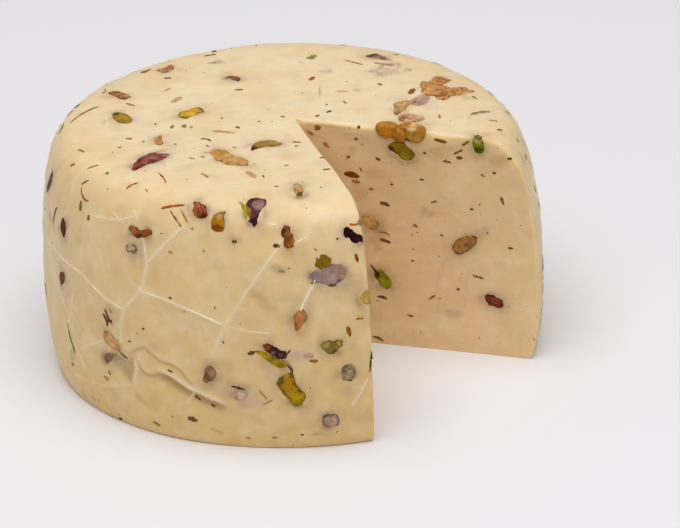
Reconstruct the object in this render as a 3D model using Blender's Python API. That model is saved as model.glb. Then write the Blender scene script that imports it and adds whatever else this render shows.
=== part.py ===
"""Wheel of pale, nut-studded cheese with one wedge cut out of it.

The wheel stands on its flat base with its axis on Z and the base's centre at the origin.
The notch where the wedge was opens towards +X and -Y. Every nut as large as a berry is a
solid of its own, set in a pocket of the cheese and flush with the face that shows it.
Modelling is done in millimetres and scaled to metres as each mesh is made.
"""
import math
import random
from typing import NamedTuple

import bmesh
import bpy
from mathutils import Vector

MM = 0.001

# The wheel: a flat top, a wide soft shoulder, a nearly upright side and a small tuck at the foot.
RADIUS = 130.0
HEIGHT = 125.0
TOP_RADIUS = 88.0
WAIST_HEIGHT = 31.0
BASE_RADIUS = 125.0
SHOULDER_POWERS = (4.8, 2.5)
FOOT_POWERS = (3.4, 1.3)
OUT_OF_ROUND = (-0.006, -0.012)
TOP_SLOPE = (-0.030, 0.005)
RING_POINTS = 48
SHOULDER_STEPS = 7
FOOT_STEPS = 4

# The notch: two upright cuts that meet beside the wheel's axis.
APEX = (4.5, -5.5)
FRONT_CUT_DEG = -74.5
BACK_CUT_DEG = -18.0
CUTTER_REACH = 220.0

# How a nut sits: its crown stands a little proud, its keel is buried, and it has clearance.
CROWN = 0.7
RIM = 0.2
CLEARANCE = 0.35
RIM_POINTS = 12
CROWN_SHARE = (0.62, 0.45)
KEEL_SHARE = (0.66, 0.60)
DEPTH_SHARE = 0.5
ROUNDNESS = 0.85

# A pocket's cutter reaches this far above the face, and directions are read over this step.
SKY = 5.0
PROBE = 0.5

# Nuts on the side that faces away, one to each bay of the wheel's circumference.
FAR_BAYS = 10
FAR_FIRST_DEG = -8.0
FAR_STEP_DEG = 17.5
FAR_SEED = 7


class Nut(NamedTuple):
    """One nut: where it lies on its face, its size, and how its outline departs from an oval.

    On the skin, across is the azimuth in degrees and along is the distance down the skin from
    the top's centre. On a cut face, across is the distance from the apex and along is the
    height. Turn is measured from across towards downhill.
    """

    kind: str
    face: str
    across: float
    along: float
    length: float
    width: float
    turn: float
    taper: float = 0.0
    bend: float = 0.0
    lobes: int = 0
    lobe_depth: float = 0.0
    depth: float = 0.0
    crown: float = CROWN
    points: int = RIM_POINTS
    trimmed: bool = False


NUTS = (
    # The flat top, from the back edge round to the notch.
    Nut("walnut", "skin", 161.5, 94, 15.5, 7, -63, bend=-0.15),
    Nut("pistachio", "skin", -178.5, 84, 17, 8.5, -25),
    Nut("pistachio", "skin", 176, 49.5, 18, 8.5, 34, bend=-0.35),
    Nut("pistachio_skin", "skin", 118.5, 59.5, 11, 5.5, 76, taper=0.25),
    Nut("walnut", "skin", 134, 94.5, 13.5, 6.5, -17, bend=0.35),
    Nut("pistachio_skin", "skin", 59, 94.5, 13, 6, -3, bend=-0.35),
    Nut("veiled_nut", "skin", 48, 82.5, 18, 10, 63),
    Nut("walnut", "skin", 21, 92, 33, 14, 0, bend=1.25, lobes=7, lobe_depth=0.10, points=28),
    Nut("veiled_nut", "skin", 12.5, 72.5, 13, 5, 31, taper=-0.2),
    Nut("walnut", "skin", 6, 59.5, 18, 7, 26, taper=0.3),
    Nut("walnut", "skin", -8.5, 63, 11, 8.5, 90, lobes=3, lobe_depth=0.12),
    Nut("walnut", "skin", -117, 64, 28, 11, 23, taper=-0.25, lobes=5, lobe_depth=0.10, points=20),
    Nut("pistachio_skin", "skin", -139.5, 88, 26, 9.5, 79, taper=-0.25, points=16),
    Nut("almond", "skin", -152.5, 71, 13, 5.5, 22, taper=0.3),
    Nut("pistachio", "skin", -104.5, 42, 16, 8, -30, bend=0.3),
    # The shoulder and the side that faces the notch's mouth, from the left to the front cut.
    Nut("pistachio", "skin", -163.5, 134, 14, 5.5, -66),
    Nut("pistachio_skin", "skin", -151, 147.5, 10.5, 7.5, 75),
    Nut("pistachio_skin", "skin", -151.5, 174, 9.5, 6, -80, taper=-0.3),
    Nut("pistachio_skin", "skin", -125, 132.5, 14.5, 5.5, -4, bend=-0.3),
    Nut("almond", "skin", -133.3, 193, 12.5, 6, 33),
    Nut("veiled_nut", "skin", -134.5, 203, 10.5, 6, -38, taper=-0.3),
    Nut("pistachio_skin", "skin", -111, 116.5, 10.5, 7.5, 44),
    Nut("pistachio", "skin", -106, 121.5, 11, 6, -87),
    Nut("pistachio_skin", "skin", -97.5, 113.5, 17.5, 9, -85, taper=-0.4, points=16),
    Nut("pistachio", "skin", -86.5, 98, 16, 5.5, 86),
    Nut("walnut", "skin", -90, 127, 12.5, 6, 77, lobes=3, lobe_depth=0.08),
    Nut("pistachio_skin", "skin", -75.5, 128.5, 11, 4.5, 42, trimmed=True),
    Nut("veiled_nut", "skin", -81.7, 146, 19, 9, 0, points=14),
    Nut("almond", "skin", -88.3, 168, 11.5, 7, -74),
    Nut("pistachio", "skin", -74.2, 159.5, 8.5, 8, 88, trimmed=True),
    Nut("pistachio", "skin", -81.7, 183, 12, 7.5, -5, taper=-0.1),
    Nut("pistachio_skin", "skin", -94.1, 184.2, 13, 4.6, 31),
    Nut("pistachio", "skin", -95, 189.3, 15.5, 3.6, 28),
    Nut("veiled_nut", "skin", -108.5, 199, 10.5, 7, -65),
    Nut("veiled_nut", "skin", -102, 208, 12, 8, 30),
    Nut("veiled_nut", "skin", -78.5, 198, 10, 8, -83),
    Nut("pistachio", "skin", -90.6, 206, 18, 9, 65, bend=-0.4, lobes=2, lobe_depth=0.10, points=16),
    Nut("veiled_nut", "skin", -82.8, 223.5, 9.5, 8.5, 31),
    # The back cut face and its upper edge.
    Nut("walnut", "back_cut", 56, 120.8, 24, 9.5, 0, bend=-0.2, lobes=3, lobe_depth=0.12,
        depth=9, crown=2.2, points=20),
    Nut("pistachio", "back_cut", 55.8, 110, 16, 9, 25, crown=1.6),
    Nut("pistachio", "back_cut", 96, 117.5, 12, 7, 86, crown=1.2),
    Nut("pistachio", "back_cut", 38, 69.5, 11, 8, 30),
    Nut("pistachio", "back_cut", 44, 37.5, 14, 8.5, 52),
    Nut("walnut", "back_cut", 88, 62, 16, 9, -35, lobes=5, lobe_depth=0.10, points=16),
    Nut("pistachio_skin", "back_cut", 103, 31, 12, 6.5, 20, bend=0.3),
    # The front cut face.
    Nut("pistachio", "front_cut", 47, 88, 14, 8, 25),
    Nut("walnut", "front_cut", 86, 52, 17, 10, -20, lobes=5, lobe_depth=0.10, points=16),
    Nut("veiled_nut", "front_cut", 40, 30, 10, 8, 60),
)

FAR_KINDS = ("pistachio", "walnut", "veiled_nut", "pistachio_skin", "pistachio", "almond")
FAR_SIZES = {
    "pistachio": (16.0, 8.5),
    "pistachio_skin": (13.0, 6.5),
    "walnut": (20.0, 11.0),
    "almond": (13.0, 6.5),
    "veiled_nut": (13.0, 9.0),
}
FAR_LOBES = {"walnut": (5, 0.10)}
FAR_ROWS = (200.0, 134.0, 168.0, 118.0, 214.0, 150.0)

COLOURS = {
    "cheese": (0.80, 0.65, 0.40),
    "pistachio": (0.42, 0.34, 0.04),
    "pistachio_skin": (0.16, 0.05, 0.05),
    "walnut": (0.50, 0.26, 0.08),
    "almond": (0.45, 0.20, 0.06),
    "veiled_nut": (0.36, 0.26, 0.22),
}
ROUGHNESS = {"cheese": 0.38}
NUT_ROUGHNESS = 0.45


def material(name):
    """A Principled material in the colour of the named food."""
    made = bpy.data.materials.new(name)
    made.use_nodes = True
    shader = made.node_tree.nodes["Principled BSDF"]
    shader.inputs["Base Color"].default_value = (*COLOURS[name], 1.0)
    shader.inputs["Roughness"].default_value = ROUGHNESS.get(name, NUT_ROUGHNESS)
    shader.inputs["Metallic"].default_value = 0.0
    return made


def power(value, exponent):
    """A signed power, which squares off or sharpens a sine or cosine."""
    return math.copysign(abs(value) ** exponent, value)


def profile(shoulder_steps, foot_steps):
    """The wheel's half outline as (radius, height), from the top's centre to the base's edge."""
    points = [(0.0, HEIGHT)]
    for step in range(shoulder_steps + 1):
        angle = math.pi / 2 * step / shoulder_steps
        out = power(math.sin(angle), 2 / SHOULDER_POWERS[0])
        up = power(math.cos(angle), 2 / SHOULDER_POWERS[1])
        points.append((
            TOP_RADIUS + (RADIUS - TOP_RADIUS) * out,
            WAIST_HEIGHT + (HEIGHT - WAIST_HEIGHT) * up,
        ))
    for step in range(1, foot_steps + 1):
        angle = math.pi / 2 * step / foot_steps
        out = power(math.cos(angle), 2 / FOOT_POWERS[0])
        down = power(math.sin(angle), 2 / FOOT_POWERS[1])
        points.append((BASE_RADIUS + (RADIUS - BASE_RADIUS) * out, WAIST_HEIGHT * (1 - down)))
    return points


def off_round(azimuth):
    """How far the wheel's plan departs from a circle, centred so that its box stays centred."""
    cosine = math.cos(3 * azimuth) - math.cos(azimuth)
    sine = math.sin(3 * azimuth) + math.sin(azimuth)
    return 1 + OUT_OF_ROUND[0] * cosine + OUT_OF_ROUND[1] * sine


def settle(azimuth, radius, height):
    """A profile point turned to its azimuth, out of round and on the gently sloping top."""
    reach = radius * off_round(azimuth)
    x = reach * math.cos(azimuth)
    y = reach * math.sin(azimuth)
    slope = 1 + (TOP_SLOPE[0] * x + TOP_SLOPE[1] * y) / HEIGHT
    return Vector((x, y, height * slope))


FINE_PROFILE = profile(240, 60)


def skin_point(azimuth, run):
    """The point of the skin at an azimuth and a distance down the skin from the top's centre."""
    left = run
    for (radius_a, height_a), (radius_b, height_b) in zip(FINE_PROFILE, FINE_PROFILE[1:]):
        piece = math.hypot(radius_b - radius_a, height_b - height_a)
        if left <= piece:
            share = left / piece
            radius = radius_a + (radius_b - radius_a) * share
            return settle(azimuth, radius, height_a + (height_b - height_a) * share)
        left -= piece
    return settle(azimuth, *FINE_PROFILE[-1])


def skin_frame(azimuth, run):
    """A skin point with its unit directions: rightwards, downhill and outwards."""
    here = skin_point(azimuth, run)
    aside = math.radians(PROBE)
    right = (skin_point(azimuth + aside, run) - skin_point(azimuth - aside, run)).normalized()
    down = (skin_point(azimuth, run + PROBE) - skin_point(azimuth, run - PROBE)).normalized()
    return here, right, down, down.cross(right).normalized()


def cut_frame(face, distance, height):
    """A point of a cut face with its unit directions: rightwards, downwards and outwards."""
    heading = math.radians(BACK_CUT_DEG if face == "back_cut" else FRONT_CUT_DEG)
    away = Vector((math.cos(heading), math.sin(heading), 0.0))
    here = Vector((*APEX, height)) + away * distance
    right = away if face == "back_cut" else -away
    down = Vector((0.0, 0.0, -1.0))
    return here, right, down, down.cross(right)


def outline(nut, length, width):
    """A nut's outline in its own plane, as (right, down) offsets for a given size."""
    turn = math.radians(nut.turn)
    points = []
    for step in range(nut.points):
        angle = math.tau * step / nut.points
        swell = 1 + nut.lobe_depth * math.cos(nut.lobes * angle)
        long = power(math.cos(angle), ROUNDNESS) * swell
        wide = power(math.sin(angle), ROUNDNESS) * swell * (1 + nut.taper * long)
        u = length / 2 * long
        spine = (2 * u / nut.length) ** 2 - 0.5
        v = width / 2 * wide + nut.width / 2 * nut.bend * spine
        points.append((
            u * math.cos(turn) - v * math.sin(turn),
            u * math.sin(turn) + v * math.cos(turn),
        ))
    return points


def ring(nut, length, width, lift):
    """One closed ring of a nut, lifted off the face that shows it, or sunk under it."""
    points = []
    for right_by, down_by in outline(nut, length, width):
        if nut.face == "skin":
            centre = math.radians(nut.across)
            girth = max(20.0, math.hypot(*skin_point(centre, nut.along).xy))
            here, _, _, out = skin_frame(centre + right_by / girth, nut.along + down_by)
        else:
            here, right, down, out = cut_frame(nut.face, nut.across, nut.along)
            here = here + right * right_by + down * down_by
        points.append(here + out * lift)
    return points


def nut_rings(nut, clearance=0.0, open_to=None):
    """A nut's crown, rim and buried keel, or its pocket with clearance and open to the air."""
    gap = 2 * clearance
    depth = nut.depth or nut.width * DEPTH_SHARE
    rim = ring(nut, nut.length + gap, nut.width + gap, RIM)
    keel = ring(
        nut, nut.length * KEEL_SHARE[0] + gap, nut.width * KEEL_SHARE[1] + gap, -depth - clearance,
    )
    if open_to is not None:
        return ring(nut, nut.length + gap, nut.width + gap, open_to), rim, keel
    return ring(nut, nut.length * CROWN_SHARE[0], nut.width * CROWN_SHARE[1], nut.crown), rim, keel


def loft(bm, rings):
    """Skins a stack of rings of equal count and closes both ends."""
    loops = []
    for points in rings:
        loops.append([bm.verts.new(point * MM) for point in points])
    count = len(loops[0])
    for upper, lower in zip(loops, loops[1:]):
        for i in range(count):
            j = (i + 1) % count
            bm.faces.new((upper[i], lower[i], lower[j], upper[j]))
    bm.faces.new(loops[0])
    bm.faces.new(reversed(loops[-1]))


def add_object(name, bm, slot=None):
    """Turns a bmesh into a triangulated, outward-facing object of the scene."""
    bmesh.ops.triangulate(bm, faces=bm.faces[:])
    bmesh.ops.recalc_face_normals(bm, faces=bm.faces[:])
    mesh = bpy.data.meshes.new(name)
    bm.to_mesh(mesh)
    bm.free()
    made = bpy.data.objects.new(name, mesh)
    bpy.context.collection.objects.link(made)
    if slot is not None:
        mesh.materials.append(slot)
        mesh.shade_smooth()
        mesh.set_sharp_from_angle(angle=math.radians(40))
    return made


def as_cutter(made):
    """Keeps an object for cutting only."""
    made.hide_render = True
    made.display_type = "WIRE"
    return made


def subtract(made, cutter):
    """Cuts one object out of another with a live modifier."""
    cut = made.modifiers.new("cut " + cutter.name, "BOOLEAN")
    cut.operation = "DIFFERENCE"
    cut.solver = "EXACT"
    cut.use_self = True
    cut.object = cutter


def build_notch():
    """The cutter of the notch: an upright prism with its edge at the apex."""
    bm = bmesh.new()
    corners = [Vector((*APEX, 0.0))]
    for heading in (FRONT_CUT_DEG, (FRONT_CUT_DEG + BACK_CUT_DEG) / 2, BACK_CUT_DEG):
        angle = math.radians(heading)
        corners.append(corners[0] + Vector((math.cos(angle), math.sin(angle), 0.0)) * CUTTER_REACH)
    rings = []
    for height in (2 * HEIGHT, -HEIGHT):
        rings.append([corner + Vector((0.0, 0.0, height)) for corner in corners])
    loft(bm, rings)
    return as_cutter(add_object("notch_cutter", bm))


def build_pockets(nuts):
    """The cutter of all the pockets, one closed body for each nut."""
    bm = bmesh.new()
    for nut in nuts:
        loft(bm, nut_rings(nut, CLEARANCE, SKY))
    return as_cutter(add_object("pocket_cutter", bm))


def build_cheese(slot, notch, pockets):
    """The wheel turned from its profile, with the notch and the pockets cut out of it."""
    bm = bmesh.new()
    half = profile(SHOULDER_STEPS, FOOT_STEPS)
    rings = []
    for radius, height in half[1:]:
        azimuths = [math.tau * step / RING_POINTS for step in range(RING_POINTS)]
        rings.append([settle(azimuth, radius, height) for azimuth in azimuths])
    loft(bm, rings)
    cheese = add_object("cheese", bm, slot)
    subtract(cheese, notch)
    subtract(cheese, pockets)
    return cheese


def far_nuts():
    """The nuts of the side that faces away, spread by a rule with seeded unevenness."""
    rng = random.Random(FAR_SEED)
    made = []
    for bay in range(FAR_BAYS):
        kind = FAR_KINDS[bay % len(FAR_KINDS)]
        length, width = FAR_SIZES[kind]
        lobes, lobe_depth = FAR_LOBES.get(kind, (0, 0.0))
        made.append(Nut(
            kind, "skin",
            FAR_FIRST_DEG + FAR_STEP_DEG * bay + rng.uniform(-3, 3),
            FAR_ROWS[(bay * 5) % len(FAR_ROWS)] + rng.uniform(-9, 9),
            length * rng.uniform(0.85, 1.15),
            width * rng.uniform(0.85, 1.1),
            rng.uniform(-80, 80),
            taper=rng.uniform(-0.25, 0.25),
            bend=rng.uniform(-0.25, 0.25),
            lobes=lobes,
            lobe_depth=lobe_depth,
        ))
    return made


def build_nuts(nuts, slots, notch):
    """Every nut as an object, numbered within its kind."""
    counts = {}
    for nut in nuts:
        counts[nut.kind] = counts.get(nut.kind, 0) + 1
        bm = bmesh.new()
        loft(bm, nut_rings(nut))
        made = add_object(f"{nut.kind}_{counts[nut.kind]:02d}", bm, slots[nut.kind])
        if nut.trimmed:
            subtract(made, notch)


def main():
    """Builds the cheese and its nuts in an empty scene."""
    for old in list(bpy.data.objects):
        bpy.data.objects.remove(old)
    slots = {name: material(name) for name in COLOURS}
    nuts = list(NUTS) + far_nuts()
    notch = build_notch()
    pockets = build_pockets(nuts)
    build_cheese(slots["cheese"], notch, pockets)
    build_nuts(nuts, slots, notch)


main()
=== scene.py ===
"""Looks of a wheel of pale cream cheese, studded with nuts, with one wedge cut out of it.

Lengths in this file are millimetres, angles are degrees, and meshes are scaled to metres as
they are made. A place on the wheel is given by its azimuth and by its run, which is the
distance down the skin from the top's centre. A place on a cut face is given by its distance
from the apex and its height.
"""

import math

import bmesh
import bpy
import numpy as np
from mathutils import Matrix, Vector
from mathutils.bvhtree import BVHTree
from mathutils.kdtree import KDTree


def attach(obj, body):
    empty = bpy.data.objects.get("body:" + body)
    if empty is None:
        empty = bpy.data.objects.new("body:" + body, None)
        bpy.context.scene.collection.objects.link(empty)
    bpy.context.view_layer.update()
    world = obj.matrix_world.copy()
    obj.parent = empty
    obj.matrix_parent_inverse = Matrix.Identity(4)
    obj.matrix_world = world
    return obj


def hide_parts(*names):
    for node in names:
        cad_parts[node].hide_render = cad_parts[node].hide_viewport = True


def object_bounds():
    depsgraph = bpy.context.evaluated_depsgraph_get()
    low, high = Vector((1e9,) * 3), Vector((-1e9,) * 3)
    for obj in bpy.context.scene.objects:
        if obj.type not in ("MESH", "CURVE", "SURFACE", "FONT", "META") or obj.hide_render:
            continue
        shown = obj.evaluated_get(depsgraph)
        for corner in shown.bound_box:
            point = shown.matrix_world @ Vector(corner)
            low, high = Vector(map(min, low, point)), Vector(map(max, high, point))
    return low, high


bl_info = {
    "name": "Nut Cheese Wheel",
    "version": (1, 0, 0),
    "blender": (4, 5, 0),
    "location": "View3D > Sidebar > Cheese",
    "description": "Finishes a wheel of nut cheese around its fixed frame",
    "category": "Add Mesh",
}

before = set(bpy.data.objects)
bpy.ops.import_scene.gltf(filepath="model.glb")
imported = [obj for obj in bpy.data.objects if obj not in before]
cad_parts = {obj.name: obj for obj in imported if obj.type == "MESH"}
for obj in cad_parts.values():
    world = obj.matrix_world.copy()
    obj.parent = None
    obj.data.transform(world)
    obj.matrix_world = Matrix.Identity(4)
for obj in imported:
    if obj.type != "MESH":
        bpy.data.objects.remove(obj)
CAD_BOX = [list(corner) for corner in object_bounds()]
MM = 0.001

# The wheel's own form, as the frame's cheese has it.
RADIUS = 130.0
HEIGHT = 125.0
TOP_RADIUS = 88.0
WAIST_HEIGHT = 31.0
BASE_RADIUS = 125.0
SHOULDER_POWERS = (4.8, 2.5)
FOOT_POWERS = (3.4, 1.3)
OUT_OF_ROUND = (-0.006, -0.012)
TOP_SLOPE = (-0.030, 0.005)
APEX = np.array([4.5, -5.5])
BACK_CUT_DEG = -18.0
FRONT_CUT_DEG = 285.5
NOTCH_MIDDLE_DEG = -46.0
# How far the pressed skin is let in, in millimetres, so that few of its swells pass the box.
SKIN_SETTLE = 0.45

# Film creases on the side that faces the notch's mouth: height of the ridge, then its route
# as (azimuth, run) places. Each ridge is also painted pale along its crest, a painted highlight.
CREASES = (
    (0.48, ((-163.5, 163.5), (-151.5, 163.5), (-143, 164.5), (-134.5, 171), (-129, 173.5))),
    (0.60, ((-129, 173.5), (-124, 161), (-122.5, 146.5), (-118.5, 136), (-114, 125.5))),
    (0.70, ((-124, 161), (-118, 163.5), (-109.5, 168.5), (-104.5, 172))),
    (0.95, ((-124.5, 160), (-123.5, 162))),
    (0.50, ((-104.5, 172), (-101, 160), (-98.5, 151.5), (-92.5, 133), (-91.5, 128.5))),
    (0.45, ((-104.5, 172), (-107.5, 188.5))),
    (0.30, ((-104.5, 172), (-100, 174), (-94.5, 175))),
    (0.40, ((-129, 173.5), (-130, 181.5), (-130.5, 192))),
    (0.35, ((-122.5, 147.5), (-124, 134.5))),
    (0.25, ((-109.5, 173.5), (-108, 178.5))),
    (0.35, ((-145, 207), (-136, 194.5))),
    (0.35, ((-146, 174.5), (-150, 201.5), (-147, 210.5), (-144, 217))),
    (0.45, ((-139.5, 133), (-131.5, 130), (-127, 125.5))),
    (0.35, ((-133.5, 127.5), (-130, 130.5))),
    (0.25, ((-128, 123), (-126, 127))),
    (0.30, ((-127.5, 210.5), (-126, 202), (-125.5, 194.5))),
    (0.30, ((-150, 192.5), (-155, 179.5), (-160.5, 167.5))),
    (0.25, ((-149, 225), (-139, 222), (-129, 214.5))),
    (0.30, ((-114.5, 217.5), (-112.5, 210.5))),
    # The second crease below, from (-88.3, 130), and the short one from (-94, 121) stand in for glints:
    # their pale paint is a painted highlight.
    (0.80, ((-84.5, 148), (-87, 158.5), (-88, 163.5))), (0.90, ((-88.3, 130), (-85.8, 127.5))),
    (0.70, ((-94, 121), (-92.5, 121.5))),
    (0.40, ((-74.5, 203), (-76, 209), (-78, 216))),
)
# Ledges where the film doubled over. The skin swells on the left of a ledge's route, seen from
# outside and facing along it, and drops on its right: height of the lip, depth and width of
# the groove, how strongly the lip is painted pale as a highlight, then the route. The groove is painted
# dark as a shadow.
LEDGES = (
    (0.30, 0.50, 1.5, 0.15, (
        (-130, 195), (-128.5, 196), (-126, 192.5), (-124, 190.5), (-122.5, 193.5),
        (-120.5, 196), (-117.5, 197), (-115.5, 199), (-114, 203), (-112, 207))),
    (0.50, 0.60, 1.8, 0.15, (
        (-127, 196.5), (-125.5, 201.5), (-124.5, 204.5), (-122.5, 205), (-120.5, 203))),
    (0.80, 1.30, 4.6, 0.50, (
        (-122, 203.5), (-120.5, 203), (-118.5, 204), (-116.5, 206.5),
        (-113, 210), (-109, 213), (-105, 216))),
    (0.30, 0.35, 3.0, 0.45, ((-127.5, 197), (-127.5, 204), (-128.5, 213.5))),
)
# Soft tones over nuts just under the surface: place (azimuth and run on the skin, apex distance
# and height on the cut), length, width, turn, colour and strength.
SKIN_GHOSTS = (
    (115.5, 87, 7, 5.5, 67, "#967c68", 0.6), (-159, 150, 12, 3.4, 9, "#9a8e68", 0.6),
    (-1, 99, 13, 3.2, 65, "#928678", 0.6), (43, 90, 5, 3.4, 0, "#725e50", 0.6),
    (60, 35, 14, 1.2, 60, "#827264", 0.6), (-126.5, 220.5, 9, 3, 40, "#b2a07e", 0.6),
    (-133, 183, 4, 2.4, 50, "#bea278", 0.6), (41, 49, 5, 2.6, 0, "#9a8a78", 0.6),
    (71, 64, 9, 5, -20, "#b6a68c", 0.6), (52, 77, 12, 3, -65, "#825e40", 0.6),
    (-7, 125, 9, 4, 80, "#9e8e7c", 0.6), (-15, 127, 7, 4, 80, "#968670", 0.6),
    (-95.6, 159.6, 12, 6, 38, "#d2a070", 0.75), (-98, 155.6, 5, 4, 30, "#c6a458", 0.6),
    (-122, 190, 7, 5.5, 0, "#d2aa7c", 0.6),
    (-88, 187, 9, 4.5, 10, "#c69e80", 0.6), (-91, 191, 8, 1.6, 60, "#d2c0ac", 0.6),
    (-86, 231, 7, 2, -4, "#968a74", 0.6), (-150, 215, 9, 4.5, -70, "#aa9674", 0.6),
    (-131, 203, 12, 7, 30, "#9e8660", 0.6), (-108, 231, 6, 2, 20, "#b69260", 0.6),
    (84, 75, 3, 2.6, 0, "#9e8e7c", 0.6), (-106, 206, 9, 6, -10, "#cebea0", 0.6),
    (-92.4, 142.6, 9, 4.5, 15, "#ae9a6a", 0.6),
    (-102, 129.6, 8, 6, 0, "#ac9a6c", 0.5),
    (-99, 213, 8, 3, -30, "#cab69c", 0.6), (-126.8, 141.5, 8, 7, 0, "#a88e70", 0.6),
    (-147, 236, 8, 3, 35, "#a29274", 0.6), (-176, 93, 7, 2.2, 0, "#baa680", 0.6),
    (-99.2, 212.5, 10, 7, 35, "#d8bc98", 0.7), (-126, 142, 15, 15, 0, "#b09478", 0.45),
    (-129.5, 206, 15, 13, 0, "#a8905c", 0.4), (-88, 186.5, 12, 7, 5, "#dcc0a0", 0.6),
    (-133, 178, 10, 13, 60, "#b49478", 0.45), (-95, 196, 14, 8, 60, "#b89c7c", 0.35),
    (-79, 152, 24, 12, 10, "#b09074", 0.30), (-78, 208, 12, 10, 20, "#c4a684", 0.35),
)
BACK_CUT_GHOSTS = (
    (39, 59, 7, 4, 30, "#aa8e70", 0.5), (42, 54, 5, 2.4, 50, "#9e8268", 0.5),
    (37.5, 40, 4, 9, 0, "#a68e78", 0.5), (40, 33, 5, 5, 20, "#9e8670", 0.5),
    (30, 109.5, 4, 5, 0, "#b28e60", 0.5), (68, 78, 9, 4, 20, "#a68668", 0.5),
    (98, 70, 8, 5, -30, "#aa8a6c", 0.5), (80, 22, 10, 5, 10, "#a28268", 0.5),
    (75, 112, 16, 7, -8, "#bc8c50", 0.45), (107, 110, 10, 8, -20, "#bc8e46", 0.5),
    (41, 97, 10, 8, 0, "#bc9058", 0.35), (33, 85, 9, 9, 0, "#c09450", 0.35),
    (42, 64, 8, 10, 20, "#b88850", 0.35), (91, 105, 12, 6, -10, "#f0d8b0", 0.45),
)
# Soft hollows: azimuth, run, radius, depth.
HOLLOWS = (
    (-131, 203, 11, 1.3), (-118, 215, 13, 0.9), (-147, 212, 9, 0.9), (-97, 192, 12, 0.5),
    (-112, 150, 20, 0.6), (-138, 150, 18, 0.5), (-114, 185, 16, 0.5), (-160, 180, 20, 0.8),
    (-86, 170, 14, 0.5), (-101, 222, 14, 0.6),
)


class CheeseSettings(bpy.types.PropertyGroup):
    """Sizes of the cheese itself, its mesh, its specks and the seed of its unevenness."""

    rings: bpy.props.IntProperty(
        name="Rings", description="Rings of the mesh from the top's edge to the base", default=128)
    near_spokes: bpy.props.IntProperty(
        name="Near spokes", description="Spokes of the mesh on the creased side", default=270)
    far_spokes: bpy.props.IntProperty(
        name="Far spokes", description="Spokes of the mesh on the other side", default=166)
    edge_radius: bpy.props.FloatProperty(
        name="Edge radius", description="Softness of the cut edges, in millimetres", default=0.9)
    rim_radius: bpy.props.FloatProperty(
        name="Rim radius", description="Softness of the back cut's top edge, in millimetres",
        default=3.0)
    specks: bpy.props.FloatProperty(
        name="Specks", description="Specks to a square metre of skin", default=1100.0)
    seed: bpy.props.IntProperty(name="Seed", description="Seed of all unevenness", default=11)


def srgb(hex_colour):
    """A linear colour from its sRGB hex value."""
    values = [int(hex_colour[i:i + 2], 16) / 255 for i in (1, 3, 5)]
    return tuple(v / 12.92 if v <= 0.04045 else ((v + 0.055) / 1.055) ** 2.4 for v in values)


class ColourSettings(bpy.types.PropertyGroup):
    """Colours of the cheese and the stage."""

    top: bpy.props.FloatVectorProperty(
        name="Top", description="Dry cream skin of the top", subtype="COLOR", default=srgb("#efd8ae"))
    side: bpy.props.FloatVectorProperty(
        name="Side", description="Moister, yellower skin of the side", subtype="COLOR",
        default=srgb("#e3c07d"))
    cut: bpy.props.FloatVectorProperty(
        name="Cut", description="Paste of the cut faces", subtype="COLOR", default=srgb("#e6c393"))
    # The crease colour is a painted highlight along crease ridges and the lips of ledges.
    crease: bpy.props.FloatVectorProperty(
        name="Crease", description="Pale tone along a film crease", subtype="COLOR",
        default=srgb("#fbeccb"))
    floor: bpy.props.FloatVectorProperty(
        name="Floor", description="Pale floor", subtype="COLOR", default=srgb("#eeedef"))


class StageSettings(bpy.types.PropertyGroup):
    """Camera and light."""

    pitch: bpy.props.FloatProperty(
        name="Pitch", description="How far the camera looks down", subtype="ANGLE",
        default=math.radians(25.16))
    roll: bpy.props.FloatProperty(
        name="Roll", description="Turn of the camera about its view", subtype="ANGLE",
        default=math.radians(-2.46))
    place: bpy.props.FloatVectorProperty(
        name="Place", description="Where the camera stands", subtype="TRANSLATION", unit="LENGTH",
        default=(0.0241, -1.1921, 0.5986))
    lens: bpy.props.FloatProperty(
        name="Lens", description="Focal length in millimetres", default=132.35)
    key: bpy.props.FloatProperty(
        name="Key", description="Strength of the large soft light overhead", default=29.8)
    fill: bpy.props.FloatProperty(
        name="Fill", description="Strength of the light from the right", default=1.5)
    sky: bpy.props.FloatProperty(
        name="Sky", description="Strength of the room's own light", default=0.405)


# ---------------------------------------------------------------- form of the wheel


def power(value, exponent):
    """A signed power, which squares off or sharpens a sine or cosine."""
    return np.sign(value) * np.abs(value) ** exponent


# Points of the half outline.
PROFILE_POINTS = 400


def wheel_profile():
    """The wheel's half outline as rows of radius, height and run from the top's centre."""
    angle = np.linspace(0, math.pi / 2, PROFILE_POINTS)
    top = np.array([[0.0, HEIGHT]])
    shoulder = np.stack([
        TOP_RADIUS + (RADIUS - TOP_RADIUS) * power(np.sin(angle), 2 / SHOULDER_POWERS[0]),
        WAIST_HEIGHT + (HEIGHT - WAIST_HEIGHT) * power(np.cos(angle), 2 / SHOULDER_POWERS[1]),
    ], 1)
    foot = np.stack([
        BASE_RADIUS + (RADIUS - BASE_RADIUS) * power(np.cos(angle), 2 / FOOT_POWERS[0]),
        WAIST_HEIGHT * (1 - power(np.sin(angle), 2 / FOOT_POWERS[1])),
    ], 1)[1:]
    half = np.concatenate([top, shoulder, foot])
    run = np.concatenate([[0], np.cumsum(np.hypot(*np.diff(half, axis=0).T))])
    return np.column_stack([half, run])


PROFILE = wheel_profile()
BASE_RUN = PROFILE[-1, 2]


def off_round(azimuth):
    """How far the wheel's plan departs from a circle."""
    cosine = np.cos(3 * azimuth) - np.cos(azimuth)
    sine = np.sin(3 * azimuth) + np.sin(azimuth)
    return 1 + OUT_OF_ROUND[0] * cosine + OUT_OF_ROUND[1] * sine


def slope(x, y):
    """How much taller or lower the wheel is over a place in its plan."""
    return 1 + (TOP_SLOPE[0] * x + TOP_SLOPE[1] * y) / HEIGHT


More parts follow.
